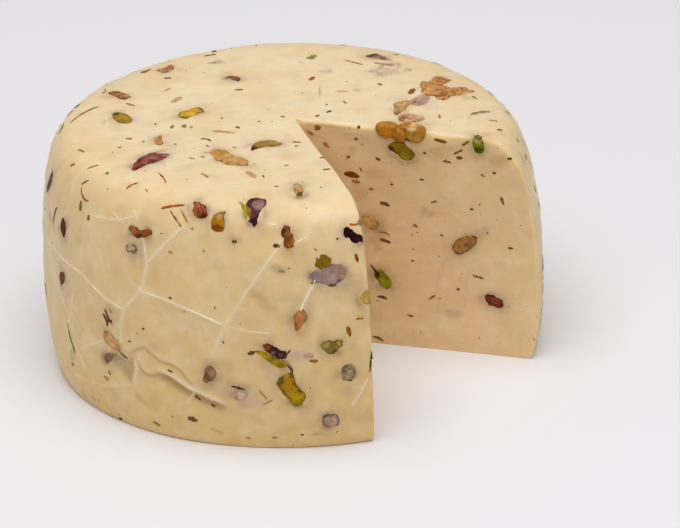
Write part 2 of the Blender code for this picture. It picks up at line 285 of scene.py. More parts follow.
def skin(azimuth, run):
    """Points of the smooth skin at azimuths in radians and runs."""
    azimuth, run = np.broadcast_arrays(azimuth, run)
    reach = np.interp(run, PROFILE[:, 2], PROFILE[:, 0]) * off_round(azimuth)
    height = np.interp(run, PROFILE[:, 2], PROFILE[:, 1])
    x = reach * np.cos(azimuth)
    y = reach * np.sin(azimuth)
    return np.stack([x, y, height * slope(x, y)], -1)


def unit(vectors):
    """Vectors scaled to length one."""
    return vectors / np.maximum(np.linalg.norm(vectors, axis=-1, keepdims=True), 1e-9)


# Half the step that finds a direction, in degrees round the wheel and millimetres down it.
PROBE = 0.5


def skin_frame(azimuth, run):
    """Skin points with unit directions: rightwards, downhill and outwards."""
    aside = math.radians(PROBE)
    run = np.clip(run, 2.0, BASE_RUN - PROBE)
    right = unit(skin(azimuth + aside, run) - skin(azimuth - aside, run))
    down = unit(skin(azimuth, run + PROBE) - skin(azimuth, run - PROBE))
    return skin(azimuth, run), right, down, unit(np.cross(down, right))


def cut_frame(face):
    """The directions of a cut face: along it from the apex, rightwards as seen, and outwards."""
    heading = math.radians(BACK_CUT_DEG if face == "back_cut" else FRONT_CUT_DEG)
    away = np.array([math.cos(heading), math.sin(heading), 0.0])
    right = away if face == "back_cut" else -away
    return away, right, np.cross(np.array([0.0, 0.0, -1.0]), right)


# Plane waves that are added up for one unevenness.
WAVE_COUNT = 24


def waves(points, length, seed):
    """Smooth seeded unevenness of one wavelength, mostly between -1 and 1."""
    rng = np.random.default_rng(seed)
    heading = unit(rng.normal(size=(WAVE_COUNT, 3)))
    pitch = math.tau / length * rng.uniform(0.7, 1.3, WAVE_COUNT)
    phase = rng.uniform(0, math.tau, WAVE_COUNT)
    total = np.cos(points @ (heading * pitch[:, None]).T + phase).sum(-1)
    return total / math.sqrt(WAVE_COUNT)


def smooth(value, low, high):
    """A soft step from 0 at low to 1 at high."""
    share = np.clip((value - low) / (high - low), 0, 1)
    return share * share * (3 - 2 * share)


# ---------------------------------------------------------------- nodes and meshes


def add_node(tree, kind, inputs=None, **settings):
    """Adds one node with its settings; an input is given a value, or a socket to link from."""
    node = tree.nodes.new(kind)
    for name, value in settings.items():
        setattr(node, name, value)
    for name, value in (inputs or {}).items():
        if isinstance(value, bpy.types.NodeSocket):
            tree.links.new(value, node.inputs[name])
        else:
            node.inputs[name].default_value = value
    return node


def add_object(name, data):
    """Links a new object to the scene."""
    made = bpy.data.objects.new(name, data)
    bpy.context.scene.collection.objects.link(made)
    return made


def set_values(mesh, values):
    """Stores named values on a mesh's points."""
    for key, value in values.items():
        layer = mesh.attributes.new(key, "FLOAT", "POINT")
        layer.data.foreach_set("value", np.asarray(value, np.float32))


def add_mesh(name, points, faces, values=None, colours=None, slot=None):
    """Makes an object from points in millimetres, with named values and colours per point."""
    mesh = bpy.data.meshes.new(name)
    mesh.from_pydata((np.asarray(points) * MM).tolist(), [], faces)
    set_values(mesh, values or {})
    if colours is not None:
        layer = mesh.color_attributes.new("tint", "FLOAT_COLOR", "POINT")
        rgba = np.column_stack([colours, np.ones(len(colours))])
        layer.data.foreach_set("color", rgba.astype(np.float32).ravel())
    if slot is not None:
        mesh.materials.append(slot)
    mesh.update()
    mesh.shade_smooth()
    return add_object(name, mesh)


def face_out(made):
    """Turns a closed mesh's faces outwards."""
    bm = bmesh.new()
    bm.from_mesh(made.data)
    bmesh.ops.recalc_face_normals(bm, faces=bm.faces)
    bm.to_mesh(made.data)
    bm.free()


def settle_modifiers(made):
    """Replaces an object's mesh by what its modifiers make of it, and removes them."""
    graph = bpy.context.evaluated_depsgraph_get()
    mesh = bpy.data.meshes.new_from_object(made.evaluated_get(graph))
    made.modifiers.clear()
    made.data = mesh
    return made


def declare(piece, node=None):
    """Clips a piece to the frame's box and sets it on the one body. It may stand for a node."""
    points = np.empty(3 * len(piece.data.vertices), np.float32)
    piece.data.vertices.foreach_get("co", points)
    piece.data.vertices.foreach_set("co", np.clip(points.reshape(-1, 3), *CAD_BOX).ravel())
    piece.data.update()
    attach(piece, "root")
    if node is not None:
        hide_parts(node)


def nut_nodes():
    """The names of the frame's nuts."""
    return sorted(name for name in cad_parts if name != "cheese")


def kind_of(node):
    """The kind in a nut's name."""
    return node.rsplit("_", 1)[0]


class NutField:
    """Where the frame's nuts lie, and how strongly and how each tints the cheese around it."""

    HALOS = {"pistachio": (0.52, "#7c5c40"), "pistachio_skin": (0.60, "#785648"),
             "walnut": (0.42, "#8c6038"), "almond": (0.50, "#80603c"), "veiled_nut": (0.56, "#7c6048")}

    def __init__(self):
        points = []
        faces = []
        self.halos = []
        for name in nut_nodes():
            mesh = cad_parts[name].data
            first = len(points)
            points += [vertex.co / MM for vertex in mesh.vertices]
            faces += [[first + corner for corner in face.vertices] for face in mesh.polygons]
            strength, tone = self.HALOS[kind_of(name)]
            self.halos += [(strength, *srgb(tone))] * len(mesh.polygons)
        self.tree = BVHTree.FromPolygons(points, faces)

    def near(self, points):
        """Each point's distance to the nearest nut, and the strength and tone of its halo."""
        found = [self.tree.find_nearest(point) for point in points]
        gap = np.array([hit[3] for hit in found])
        halos = np.array([self.halos[hit[2]] for hit in found])
        return gap, halos[:, 0], halos[:, 1:]


# ---------------------------------------------------------------- materials


def material(name, constants):
    """A node material with its shader's constants set, and the object's own coordinates."""
    made = bpy.data.materials.new(name)
    made.use_nodes = True
    tree = made.node_tree
    shader = tree.nodes["Principled BSDF"]
    for socket, value in constants.items():
        shader.inputs[socket].default_value = value
    where = tree.nodes.new("ShaderNodeTexCoord").outputs["Object"]
    return made, tree, shader, where


def grain(tree, where, size, detail=3.0, roughness=0.55):
    """Noise whose lumps are about the given size in millimetres."""
    noise = add_node(tree, "ShaderNodeTexNoise", {
        "Vector": where, "Scale": 1 / (size * MM), "Detail": detail, "Roughness": roughness})
    return noise.outputs["Fac"]


def ramp(tree, factor, low, high, to_low=0.0, to_high=1.0):
    """A factor stretched from one range to another and held at both ends."""
    node = add_node(tree, "ShaderNodeMapRange", {
        "Value": factor, "From Min": low, "From Max": high, "To Min": to_low, "To Max": to_high})
    return node.outputs["Result"]


def value_of(tree, name, output="Fac"):
    """A named value, or the painted colour, of the mesh's points."""
    return add_node(tree, "ShaderNodeAttribute", attribute_name=name).outputs[output]


def times(tree, first, second):
    """The product of two factors."""
    return add_node(tree, "ShaderNodeMath", {0: first, 1: second}, operation="MULTIPLY").outputs[0]


def blend(tree, factor, first, second, mode="MIX"):
    """One colour laid over another."""
    node = add_node(tree, "ShaderNodeMix", data_type="RGBA", blend_type=mode)
    for index, value in ((0, factor), (6, first), (7, second)):
        if isinstance(value, bpy.types.NodeSocket):
            tree.links.new(value, node.inputs[index])
        elif index == 0:
            node.inputs[0].default_value = value
        else:
            node.inputs[index].default_value = (*value, 1.0)
    return node.outputs[2]


# Clouds in the paste, as size in millimetres, where the noise starts and is full, strength and
# colour: buttery patches, a faint clouding, then whey-green and pinkish tones.
PASTE_CLOUDS = (
    (30, 0.42, 0.68, 0.40, "#e8c583"),
    (8, 0.50, 0.75, 0.30, "#f6e6c4"),
    (11, 0.48, 0.70, 0.22, "#cfc191"),
    (15, 0.50, 0.70, 0.22, "#eccba4"),
)


def cheese_material(colours):
    """Cream nut cheese, pressed in film: a soft, slightly waxy paste that light sinks into."""
    made, tree, shader, where = material("film_pressed_cream_cheese", {
        "IOR": 1.45, "Subsurface Weight": 0.25, "Subsurface Radius": (1.0, 0.6, 0.3),
        "Subsurface Scale": 0.004})
    base = blend(tree, value_of(tree, "side"), tuple(colours.top), tuple(colours.side))
    base = blend(tree, value_of(tree, "cut"), base, tuple(colours.cut))
    for size, low, high, most, tone in PASTE_CLOUDS:
        base = blend(tree, ramp(tree, grain(tree, where, size), low, high, 0, most), base, srgb(tone))
    # On the cut faces brown oil from the nuts is smeared in slanting bands.
    slanted = add_node(tree, "ShaderNodeMapping", {
        "Vector": where, "Rotation": (0.0, math.radians(-28), math.radians(20)),
        "Scale": (1.0, 1.0, 0.22)}).outputs[0]
    smear = ramp(tree, grain(tree, slanted, 7, 5, 0.7), 0.56, 0.70, 0, 0.55)
    base = blend(tree, times(tree, smear, value_of(tree, "smear")), base, srgb("#b97e46"))
    # Where fresh curd lies against the film it is milky, in clouds 26 mm across broken at 7 mm.
    milk = times(tree, ramp(tree, grain(tree, where, 26, 2), 0.50, 0.66, 0, 0.36),
                 ramp(tree, grain(tree, where, 7, 3), 0.30, 0.65))
    base = blend(tree, milk, base, srgb("#f4e3b9"))
    # The outermost centimetre is drier and yellower where the cut lays it open.
    base = blend(tree, times(tree, value_of(tree, "rim"), 0.8), base, srgb("#f0d796"))
    # Painted shadow: olive-brown in the grooves where the film folded.
    base = blend(tree, times(tree, value_of(tree, "shade"), 0.75), base, srgb("#a88450"))
    # Grey-lilac clouds over nuts just under the skin.
    veil = times(tree, value_of(tree, "veil"), ramp(tree, grain(tree, where, 5), 0.25, 0.60, 0.55, 1.0))
    base = blend(tree, veil, base, value_of(tree, "tint", "Color"))
    # Painted highlight: paler cream along crease ridges and ledge lips.
    base = blend(tree, value_of(tree, "crease"), base, tuple(colours.crease))
    tree.links.new(base, shader.inputs["Base Color"])
    tree.links.new(ramp(tree, grain(tree, where, 4), 0.3, 0.7, 0.36, 0.48), shader.inputs["Roughness"])
    # Pressed film leaves ripples about 2.5 mm long and a grain of 0.5 mm.
    ripple = add_node(tree, "ShaderNodeBump", {
        "Height": grain(tree, where, 2.5, 2), "Strength": 0.25, "Distance": 0.0004})
    fine = add_node(tree, "ShaderNodeBump", {
        "Height": grain(tree, where, 0.5, 2), "Strength": 0.20, "Distance": 0.0002,
        "Normal": ripple.outputs[0]})
    tree.links.new(fine.outputs[0], shader.inputs["Normal"])
    return made


def kernel_material(name, roughness, grain_size, subsurface, gloss, wrinkle):
    """Nut flesh in the painted tint, mottled at the size of its own grain."""
    made, tree, shader, where = material(name, {
        "Roughness": roughness, "IOR": 1.47, "Specular IOR Level": gloss,
        "Subsurface Weight": subsurface, "Subsurface Radius": (1.0, 0.7, 0.3),
        "Subsurface Scale": 0.0015})
    tint = value_of(tree, "tint", "Color")
    dark = ramp(tree, grain(tree, where, grain_size, 4, 0.65), 0.52, 0.75, 0, 0.26)
    base = blend(tree, dark, tint, srgb("#4a2c14"), "MULTIPLY")
    pale = ramp(tree, grain(tree, where, grain_size * 2.1, 2), 0.55, 0.80, 0, 0.25)
    base = blend(tree, pale, base, srgb("#ecd9a8"), "SOFT_LIGHT")
    tree.links.new(base, shader.inputs["Base Color"])
    bump = add_node(tree, "ShaderNodeBump", {
        "Height": grain(tree, where, grain_size * 0.8, 3), "Strength": 0.5, "Distance": wrinkle})
    tree.links.new(bump.outputs[0], shader.inputs["Normal"])
    return made


def crease_material(colours):
    """Cream cheese along a film crease's ridge, painted paler than the paste: a painted highlight."""
    made, tree, shader, where = material("cream_cheese_crease_highlight", {"Roughness": 0.4})
    base = blend(tree, grain(tree, where, 3), tuple(colours.crease), srgb("#ecd3a0"))
    tree.links.new(base, shader.inputs["Base Color"])
    return made


def herb_material():
    """Dried herb and nut skin crumbs: dull, brown to dark green, each one a little different."""
    made, tree, shader, _ = material("dried_herb_crumb", {
        "Roughness": 0.6, "Specular IOR Level": 0.2})
    shade = value_of(tree, "shade")
    base = blend(tree, ramp(tree, shade, 0.0, 0.5), srgb("#6a4c2e"), srgb("#94683c"))
    base = blend(tree, ramp(tree, shade, 0.6, 0.9), base, srgb("#7c6c3c"))
    tree.links.new(base, shader.inputs["Base Color"])
    return made


# Each kind's material, roughness, grain in millimetres, subsurface, gloss and bump in metres.
KERNELS = {
    "pistachio": ("pistachio_kernel", 0.42, 1.6, 0.12, 0.10, 0.0002),
    "pistachio_skin": ("pistachio_skin", 0.50, 1.2, 0.05, 0.08, 0.0002),
    "walnut": ("walnut_kernel", 0.42, 2.4, 0.10, 0.18, 0.0003),
    "almond": ("almond_kernel", 0.45, 1.4, 0.10, 0.30, 0.0002),
    "veiled_nut": ("nut_under_cheese", 0.40, 4.0, 0.25, 0.40, 0.0),
}
MATERIALS = {}


def make_materials(colours):
    """Makes every material once."""
    MATERIALS["cheese"] = cheese_material(colours)
    MATERIALS["crease"] = crease_material(colours)
    MATERIALS["herb"] = herb_material()
    for kind, flesh in KERNELS.items():
        MATERIALS[kind] = kernel_material(*flesh)


# ---------------------------------------------------------------- the cheese


def route(places, step=0.8):
    """A route of (azimuth, run) places rounded off and resampled, as an array."""
    knots = np.array(places, float)
    ends = np.concatenate([[2 * knots[0] - knots[1]], knots, [2 * knots[-1] - knots[-2]]])
    out = []
    for a, b, c, d in zip(ends, ends[1:], ends[2:], ends[3:]):
        span = math.hypot(math.radians(c[0] - b[0]) * RADIUS, c[1] - b[1])
        for t in np.arange(0, 1, step / max(span, step)):
            ease = t * t * (3 - 2 * t)
            start = 0.15 * (c - a) * (t - 2 * t * t + t ** 3)
            end = 0.15 * (d - b) * (t ** 3 - t * t)
            out.append(b + (c - b) * (0.4 * ease + 0.6 * t) + start + end)
    out.append(knots[-1])
    return np.array(out)


# Bays round the far side, each with one crease and its branch.
FAR_BAYS = 16


def far_creases(seed):
    """Creases of the side that faces away: jagged routes that run round and down it."""
    rng = np.random.default_rng(seed)
    made = []
    for bay in range(FAR_BAYS):
        azimuth = -4 + 11.7 * bay + rng.uniform(-3, 3)
        run = rng.uniform(122, 150)
        places = [(azimuth, run)]
        for _ in range(rng.integers(3, 6)):
            azimuth += rng.uniform(-9, 9)
            run = min(run + rng.uniform(10, 22), 228)
            places.append((azimuth, run))
        made.append((rng.uniform(0.25, 0.5), tuple(places)))
        turn = places[rng.integers(1, len(places))]
        made.append((rng.uniform(0.2, 0.4), (
            turn, (turn[0] + rng.uniform(6, 10), turn[1] + rng.uniform(-8, 8)),
            (turn[0] + rng.uniform(13, 18), turn[1] + rng.uniform(-14, 14)))))
    return made


def flat_places(azimuth, run):
    """Places on the skin unrolled to millimetres from the notch round, so that the only seam
    is in the notch.
    """
    azimuth = np.where(azimuth < math.radians(NOTCH_MIDDLE_DEG), azimuth + math.tau, azimuth)
    return np.stack([azimuth * RADIUS, np.broadcast_to(run, azimuth.shape)], -1)


def flat_route(way):
    """A route rounded off and unrolled to millimetres."""
    line = route(way, 2.0)
    return flat_places(np.radians(line[:, 0]), line[:, 1])


def nearest_on(line, places):
    """Each place's distance to a line, its signed offset below it and its share along it."""
    best = np.full(len(places), 1e9)
    below = np.zeros(len(places))
    along = np.zeros(len(places))
    for index, (start, end) in enumerate(zip(line, line[1:])):
        span = end - start
        length = max(span @ span, 1e-9)
        share = np.clip(((places - start) @ span) / length, 0, 1)
        gap = places - (start + share[:, None] * span)
        distance = np.hypot(gap[:, 0], gap[:, 1])
        closer = distance < best
        best[closer] = distance[closer]
        across = (span[0] * gap[:, 1] - span[1] * gap[:, 0]) / math.sqrt(length)
        below[closer] = across[closer]
        along[closer] = (index + share[closer]) / (len(line) - 1)
    return best, below, along


def crease_relief(places, creases):
    """Height of the creases at each place, and how strongly each place is painted pale along a crease's
    ridge, as a painted highlight.
    """
    height = np.zeros(len(places))
    painted_highlight = np.zeros(len(places))
    for ridge, way in creases:
        line = flat_route(way)
        low = line.min(0) - 14
        high = line.max(0) + 14
        near = ((places > low) & (places < high)).all(1)
        if not near.any():
            continue
        distance, _, along = nearest_on(line, places[near])
        ends = smooth(np.minimum(along, 1 - along), -0.10, 0.05)
        height[near] += ridge * ends * np.exp(-distance / 2.6)
        # A narrow pale band along the ridge: a painted highlight.
        painted_highlight[near] = np.maximum(painted_highlight[near], ridge * 0.8 * ends * np.exp(-(distance / 0.9) ** 2))
    return height, painted_highlight


def skin_relief(azimuth, run, points, seed):
    """How far the pressed skin stands off the smooth wheel, where it is painted pale as a highlight, and
    where it is painted dark as shade in the ledges' grooves.
    """
    side = smooth(run, 96, 130)
    places = flat_places(azimuth, run)
    height = 0.35 * waves(points, 70, seed) + 0.10 * waves(points, 22, seed + 1)
    height += side * (0.16 * waves(points, 11, seed + 2) + 0.05 * waves(points, 5, seed + 3))
    height -= SKIN_SETTLE
    ridges, painted_highlight = crease_relief(places, CREASES)
    height += ridges
    ridges, far_painted_highlight = crease_relief(places, far_creases(seed))
    height += ridges
    painted_highlight = np.maximum(painted_highlight, far_painted_highlight)
    for azimuth_deg, run_at, radius, depth in HOLLOWS:
        gap = places - flat_places(np.radians(azimuth_deg), run_at)
        height -= depth * np.exp(-(gap ** 2).sum(1) / radius ** 2)
    shade = np.zeros(len(places))
    for lip, groove, width, pale, way in LEDGES:
        line = flat_route(way)
        distance, below, along = nearest_on(line, places)
        ends = smooth(np.minimum(along, 1 - along), -0.04, 0.14) * (distance < 20)
        swell = np.exp(-np.clip(-below, 0, None) / 5.5) * smooth(below, 1.0, -0.8)
        sunk = smooth(below, -0.6, 0.9) * np.exp(-np.clip(below - width / 2, 0, None) / width)
        height += ends * (lip * swell - groove * sunk) * np.exp(-(distance / 12) ** 2)
        # The lip is painted pale, a painted highlight, and the groove dark, a painted shadow.
        painted_highlight = np.maximum(painted_highlight, pale * ends * np.exp(-((below + 1.6) / 1.6) ** 2))
        middle = (below - 0.45 * width) / (0.55 * width)
        shade = np.maximum(shade, min(1.0, groove + 0.2) * ends * np.exp(-middle ** 2))
    return height, painted_highlight, shade


def fillet(distance, radius):
    """How far a point beside a sharp edge moves away from it and sinks, to round the edge."""
    turn = math.pi / 4 * np.clip(1 - distance / radius, 0, 1)
    near = distance < radius
    aside = np.where(near, radius - radius * np.sin(turn) - distance, 0.0)
    return aside, np.where(near, radius - radius * np.cos(turn), 0.0)


def lay_ghosts(ghosts, face, flat, points, strength, tints):
    """Adds soft tones over nuts under the surface to points' strengths and tints, in place."""
    for first, second, length, width, turn, tone, most in ghosts:
        if face == "skin":
            across = (flat[:, 0] - math.radians(first) + math.pi) % math.tau - math.pi
            across = across * np.interp(flat[:, 1], PROFILE[:, 2], PROFILE[:, 0])
            down = flat[:, 1] - second
        else:
            across = flat[:, 0] - first
            down = second - flat[:, 1]
        near = (np.abs(across) < length + width) & (np.abs(down) < length + width)
        turned = math.radians(turn)
        ahead = across[near] * math.cos(turned) + down[near] * math.sin(turned)
        beside = down[near] * math.cos(turned) - across[near] * math.sin(turned)
        gap = np.hypot(2 * ahead / length, 2 * beside / width) + 0.16 * waves(points[near], 5, 77)
        share = most * smooth(gap, 1.45, 0.45)
        mix = (share / np.maximum(strength[near] + share, 1e-6))[:, None]
        tints[near] += (np.array(srgb(tone)) - tints[near]) * mix
        strength[near] = 1 - (1 - strength[near]) * (1 - share)


def edge_radii(settings, heights):
    """Radius of the back cut's edge at each height: softer along the top."""
    extra = settings.rim_radius - settings.edge_radius
    return settings.edge_radius + extra * smooth(heights, 104, 116)


def spoke_angles(settings):
    """Plan angles of the mesh's spokes about the apex, closer together beside both cuts."""
    far = np.radians(np.linspace(BACK_CUT_DEG, 180, settings.far_spokes, endpoint=False))
    near = np.radians(np.linspace(180, FRONT_CUT_DEG, settings.near_spokes))
    close = np.radians([0.15, 0.35, 0.6, 0.9, 1.5, 2.0, 3.0])
    return np.sort(np.concatenate([far, near, far[0] + close, near[-1] - close[:2]]))


def spoke_points(angles, radii, heights):
    """Where each spoke from the apex meets the wheel's profile rings."""
    ahead = np.stack([np.cos(angles), np.sin(angles)], -1)[:, None, :]
    reach = np.broadcast_to(radii, (len(angles), len(radii))).copy()
    for _ in range(30):
        plan = APEX + reach[..., None] * ahead
        azimuth = np.arctan2(plan[..., 1], plan[..., 0])
        reach += radii * off_round(azimuth) - np.hypot(plan[..., 0], plan[..., 1])
    plan = APEX + reach[..., None] * ahead
    lift = heights * slope(plan[..., 0], plan[..., 1])
    return np.concatenate([plan, lift[..., None]], -1)


def strip(first, second):
    """Faces between two rows of point numbers, leaving out corners that coincide."""
    made = []
    for a, b, c, d in zip(first, first[1:], second[1:], second):
        corners = [a]
        for corner in (b, c, d):
            if corner not in corners:
                corners.append(corner)
        if len(corners) > 2:
            made.append(corners)
    return made


# Rings of the mesh on the top and the base, and its columns across a cut face.
TOP_RINGS = 34
BASE_RINGS = 8
CUT_COLUMNS = 36


def build_cheese(settings, nuts):
    """The whole cheese as one closed mesh: skin, both cut faces and base."""
    angles = spoke_angles(settings)
    runs = np.linspace(TOP_RADIUS, BASE_RUN, settings.rings)
    radii = np.interp(runs, PROFILE[:, 2], PROFILE[:, 0])
    heights = np.interp(runs, PROFILE[:, 2], PROFILE[:, 1])
    side = spoke_points(angles, radii, heights)
    share = (np.arange(1, TOP_RINGS) / TOP_RINGS)[None, :, None]
    apex = np.array([*APEX, HEIGHT * slope(*APEX)])
    top = apex[:2] + share * (side[:, :1, :2] - apex[:2])
    top = np.concatenate([top, (HEIGHT * slope(top[..., 0], top[..., 1]))[..., None]], -1)
    sheet = np.concatenate([top, side], 1)
    spokes, rings = sheet.shape[:2]

    points = [apex[None], sheet.reshape(-1, 3)]
    numbers = 1 + np.arange(spokes * rings).reshape(spokes, rings)
    numbers = np.concatenate([np.zeros((spokes, 1), int), numbers], 1)
    rows = rings + 1
    down_count = rows - BASE_RINGS - 1
    drop = np.linspace(apex[2], 0, down_count + 1)[1:]
    spine = np.column_stack([np.full_like(drop, APEX[0]), np.full_like(drop, APEX[1]), drop])
    points.append(spine)
    first = 1 + spokes * rings
    apex_line = first + np.arange(down_count)
    foot = np.array([*APEX, 0.0])
    share = (np.arange(1, BASE_RINGS) / BASE_RINGS)[None, :, None]
    base = foot + share * (sheet[:, -1:, :] - foot)
    points.append(base.reshape(-1, 3))
    first = apex_line[-1] + 1
    base_numbers = first + np.arange(spokes * (BASE_RINGS - 1)).reshape(spokes, -1)
    base_numbers = np.concatenate([
        np.full((spokes, 1), apex_line[-1]), base_numbers, numbers[:, -1:]], 1)

    faces = []
    for a, b in zip(numbers, numbers[1:]):
        faces += strip(a.tolist(), b.tolist())
    for a, b in zip(base_numbers, base_numbers[1:]):
        faces += strip(b.tolist(), a.tolist())

    flat = np.concatenate(points)
    near_edge = np.array([0.003, 0.007, 0.014, 0.025])
    columns = np.concatenate([near_edge, np.linspace(0.04, 1, CUT_COLUMNS)[:-1]])
    cuts = []
    count = len(flat)
    for spoke, face in ((0, "back_cut"), (spokes - 1, "front_cut")):
        outer = numbers[spoke]
        inner = np.concatenate([[0], apex_line, base_numbers[spoke, 1:-1], [outer[-1]]])
        previous = outer
        for share in columns:
            here = flat[outer] + (flat[inner] - flat[outer]) * share
            fresh = count + np.arange(rows - 2)
            points.append(here[1:-1])
            cuts.append((face, outer[1:-1], here[1:-1]))
            count += rows - 2
            current = np.concatenate([[0], fresh, [outer[-1]]])
            faces += strip(previous.tolist(), current.tolist())
            previous = current
        faces += strip(previous.tolist(), inner.tolist())

    return shape_cheese(settings, nuts, angles, sheet, runs, apex, spine, base, cuts, faces)


def shape_cheese(settings, nuts, angles, sheet, runs, apex, spine, base, cuts, faces):
    """Presses dents, creases, soft edges and knife marks into the cheese's points."""
    spokes, rings = sheet.shape[:2]
    skin_points = sheet.reshape(-1, 3)
    azimuth = np.arctan2(skin_points[:, 1], skin_points[:, 0])
    level = np.hypot(skin_points[:, 0], skin_points[:, 1]) / off_round(azimuth)
    run = np.concatenate([np.zeros(TOP_RINGS - 1), runs])
    run = np.where(np.arange(rings)[None, :] < TOP_RINGS - 1, level.reshape(spokes, rings), run)
    run = run.ravel()
    out = skin_frame(azimuth, run)[3]
    flat_out = unit(np.array([-TOP_SLOPE[0], -TOP_SLOPE[1], 1.0]))
    out = np.where((run < TOP_RADIUS)[:, None], flat_out, out)

    relief, painted_highlight, shade = skin_relief(azimuth, run, skin_points, settings.seed)
    gap, halo, tone = nuts.near(skin_points)
    calm = 1 - 0.8 * np.exp(-(gap / 5.0) ** 2)
    relief = np.minimum(relief * calm, 0.35) - 0.12 * np.exp(-gap / 1.2)
    foot = smooth(skin_points[:, 2], 0, 3)
    plan = skin_points[:, :2] - APEX
    reach = np.hypot(*plan.T)
    away = np.repeat(np.minimum(angles - angles[0], angles[-1] - angles), rings)
    beside = np.where(away < math.pi / 2, reach * np.sin(away), reach)
    radius = edge_radii(settings, skin_points[:, 2])
    front = np.repeat(np.arange(spokes) > spokes // 2, rings)
    radius = np.where(front, settings.edge_radius, radius)
    aside, sunk = fillet(beside, radius)
    beyond = np.where(front[:, None], cut_frame("front_cut")[2], cut_frame("back_cut")[2])
    pressed = out * (relief * foot)[:, None]
    shift = pressed - out * sunk[:, None] - beyond * aside[:, None]
    pressed[skin_points[:, 2] < 1e-6, 2] = 0.0
    shift[skin_points[:, 2] < 1e-6, 2] = 0.0

    apex_sink = np.array([[0, 0, 0.3]])
    shaped = [apex[None] - apex_sink, skin_points + shift, spine, base.reshape(-1, 3)]
    edge_shift = np.concatenate([np.zeros((1, 3)), pressed])
    edge_out = np.concatenate([[flat_out], out])
    curves = {}
    for spoke, face in ((0, "back_cut"), (spokes - 1, "front_cut")):
        curve = KDTree(rings * 8)
        line = sheet[spoke]
        for index in range((rings - 1) * 8):
            lower, part = divmod(index, 8)
            curve.insert(line[lower] + (line[lower + 1] - line[lower]) * part / 8, index)
        curve.balance()
        curves[face] = curve
    for face, outer, here in cuts:
        normal = cut_frame(face)[2]
        beside = np.array([curves[face].find(point)[2] for point in here])
        knife = 0.30 * waves(here, 26, settings.seed + 5) + 0.10 * waves(here, 6, settings.seed + 6)
        lines = 0.05 * waves(here * np.array([1, 1, 6]), 9, settings.seed + 7)
        inside = smooth(beside, 0, 4) * smooth(np.hypot(*(here[:, :2] - APEX).T), 0, 6)
        inside *= smooth(here[:, 2], 0, 4)
        soft = settings.edge_radius
        if face == "back_cut":
            soft = edge_radii(settings, here[:, 2] + beside)
        aside, sunk = fillet(beside, soft)
        depth = (knife + lines - 0.25) * inside - sunk
        fade = np.exp(-beside / 5)[:, None]
        shaped.append(here + normal * depth[:, None] + edge_shift[outer] * fade
                      - edge_out[outer] * aside[:, None])
    # A few swells of the skin would pass the frame's box, by about a third of a millimetre.
    everything = np.clip(np.concatenate(shaped), *(np.array(CAD_BOX) / MM))

    total = len(everything)
    values = {name: np.zeros(total) for name in (
        "side", "cut", "veil", "crease", "rim", "shade", "smear")}
    on_skin = slice(1, 1 + len(skin_points))
    values["side"][on_skin] = 0.75 * smooth(run, 70, 150) + 0.35 * smooth(run, 150, 235)
    # Painted highlight along crease ridges and ledge lips, and painted shadow in the ledges' grooves.
    values["crease"][on_skin] = np.clip(painted_highlight, 0, 0.8)
    values["shade"][on_skin] = np.clip(shade, 0, 1)
    clouds = 0.10 * smooth(waves(skin_points, 16, settings.seed + 9), 0.4, 1.4)
    uneven = np.clip(0.75 + 0.5 * waves(skin_points, 9, settings.seed + 10), 0.2, 1.4)
    tints = np.tile(srgb("#a88c68"), (total, 1))
    tints[on_skin] = tone
    veil = np.clip(halo * uneven * np.exp(-gap / 2.8) + clouds, 0, 0.8)
    flat = np.column_stack([azimuth, run])
    lay_ghosts(SKIN_GHOSTS, "skin", flat, skin_points, veil, tints[on_skin])
    values["veil"][on_skin] = veil

    start = on_skin.stop + len(spine) + base.shape[0] * base.shape[1]
    first = len(cuts[0][2]) * len(cuts) // 2
    on_cut, on_back = slice(start, None), slice(start, start + first)
    values["cut"][on_cut] = 1.0
    cut_points = everything[on_cut]
    gap, halo, tone = nuts.near(cut_points)
    tints[on_cut] = tone
    veil = halo * np.exp(-gap / 2.0)
    back_points = cut_points[:first]
    away, _, _ = cut_frame("back_cut")
    flat = np.column_stack([(back_points[:, :2] - APEX) @ away[:2], back_points[:, 2]])
    lay_ghosts(BACK_CUT_GHOSTS, "back_cut", flat, back_points, veil[:first], tints[on_back])
    values["veil"][on_cut] = veil
    values["smear"][start + first:] = 1.0
    values["smear"][on_back] = 0.3 * smooth(back_points[:, 2], 110, 40)
    rims = np.concatenate([
        np.array([curves[face].find(point)[2] for point in here]) for face, _, here in cuts])
    values["rim"][on_cut] = smooth(rims, 6.5, 2.5) * smooth(cut_points[:, 2], 90, 118)
    values["rim"][on_cut] += 0.5 * np.exp(-rims / 3.5) * smooth(cut_points[:, 2], 118, 60)
    made = add_mesh("cheese_body", everything, faces, values, tints, slot=MATERIALS["cheese"])
    face_out(made)
    return made


class CHEESE_OT_cheese(bpy.types.Operator):
    """Make the cheese itself"""

    bl_idname = "cheese.make_cheese"
    bl_label = "Cheese"

    def execute(self, context):
        make_materials(context.scene.cheese_colours)
        made = build_cheese(context.scene.cheese_settings, NutField())
        declare(made, "cheese")
        return {"FINISHED"}


# ---------------------------------------------------------------- nuts


class Finish:
    """How one nut is coloured: flesh, a broken rim, and patches laid over them.

    A patch is its place across and downhill of the nut's middle, its radius and its colour.
    """

    def __init__(self, flesh, rim, *patches, streaks=0.10, rim_width=0.6, furrow_darkening=0.4):
        self.furrow_darkening = furrow_darkening
        self.flesh = np.array(srgb(flesh))
        self.rim = np.array(srgb(rim))
        self.patches = [(x, y, radius, np.array(srgb(tone))) for x, y, radius, tone in patches]
        self.streaks = streaks
        self.rim_width = rim_width


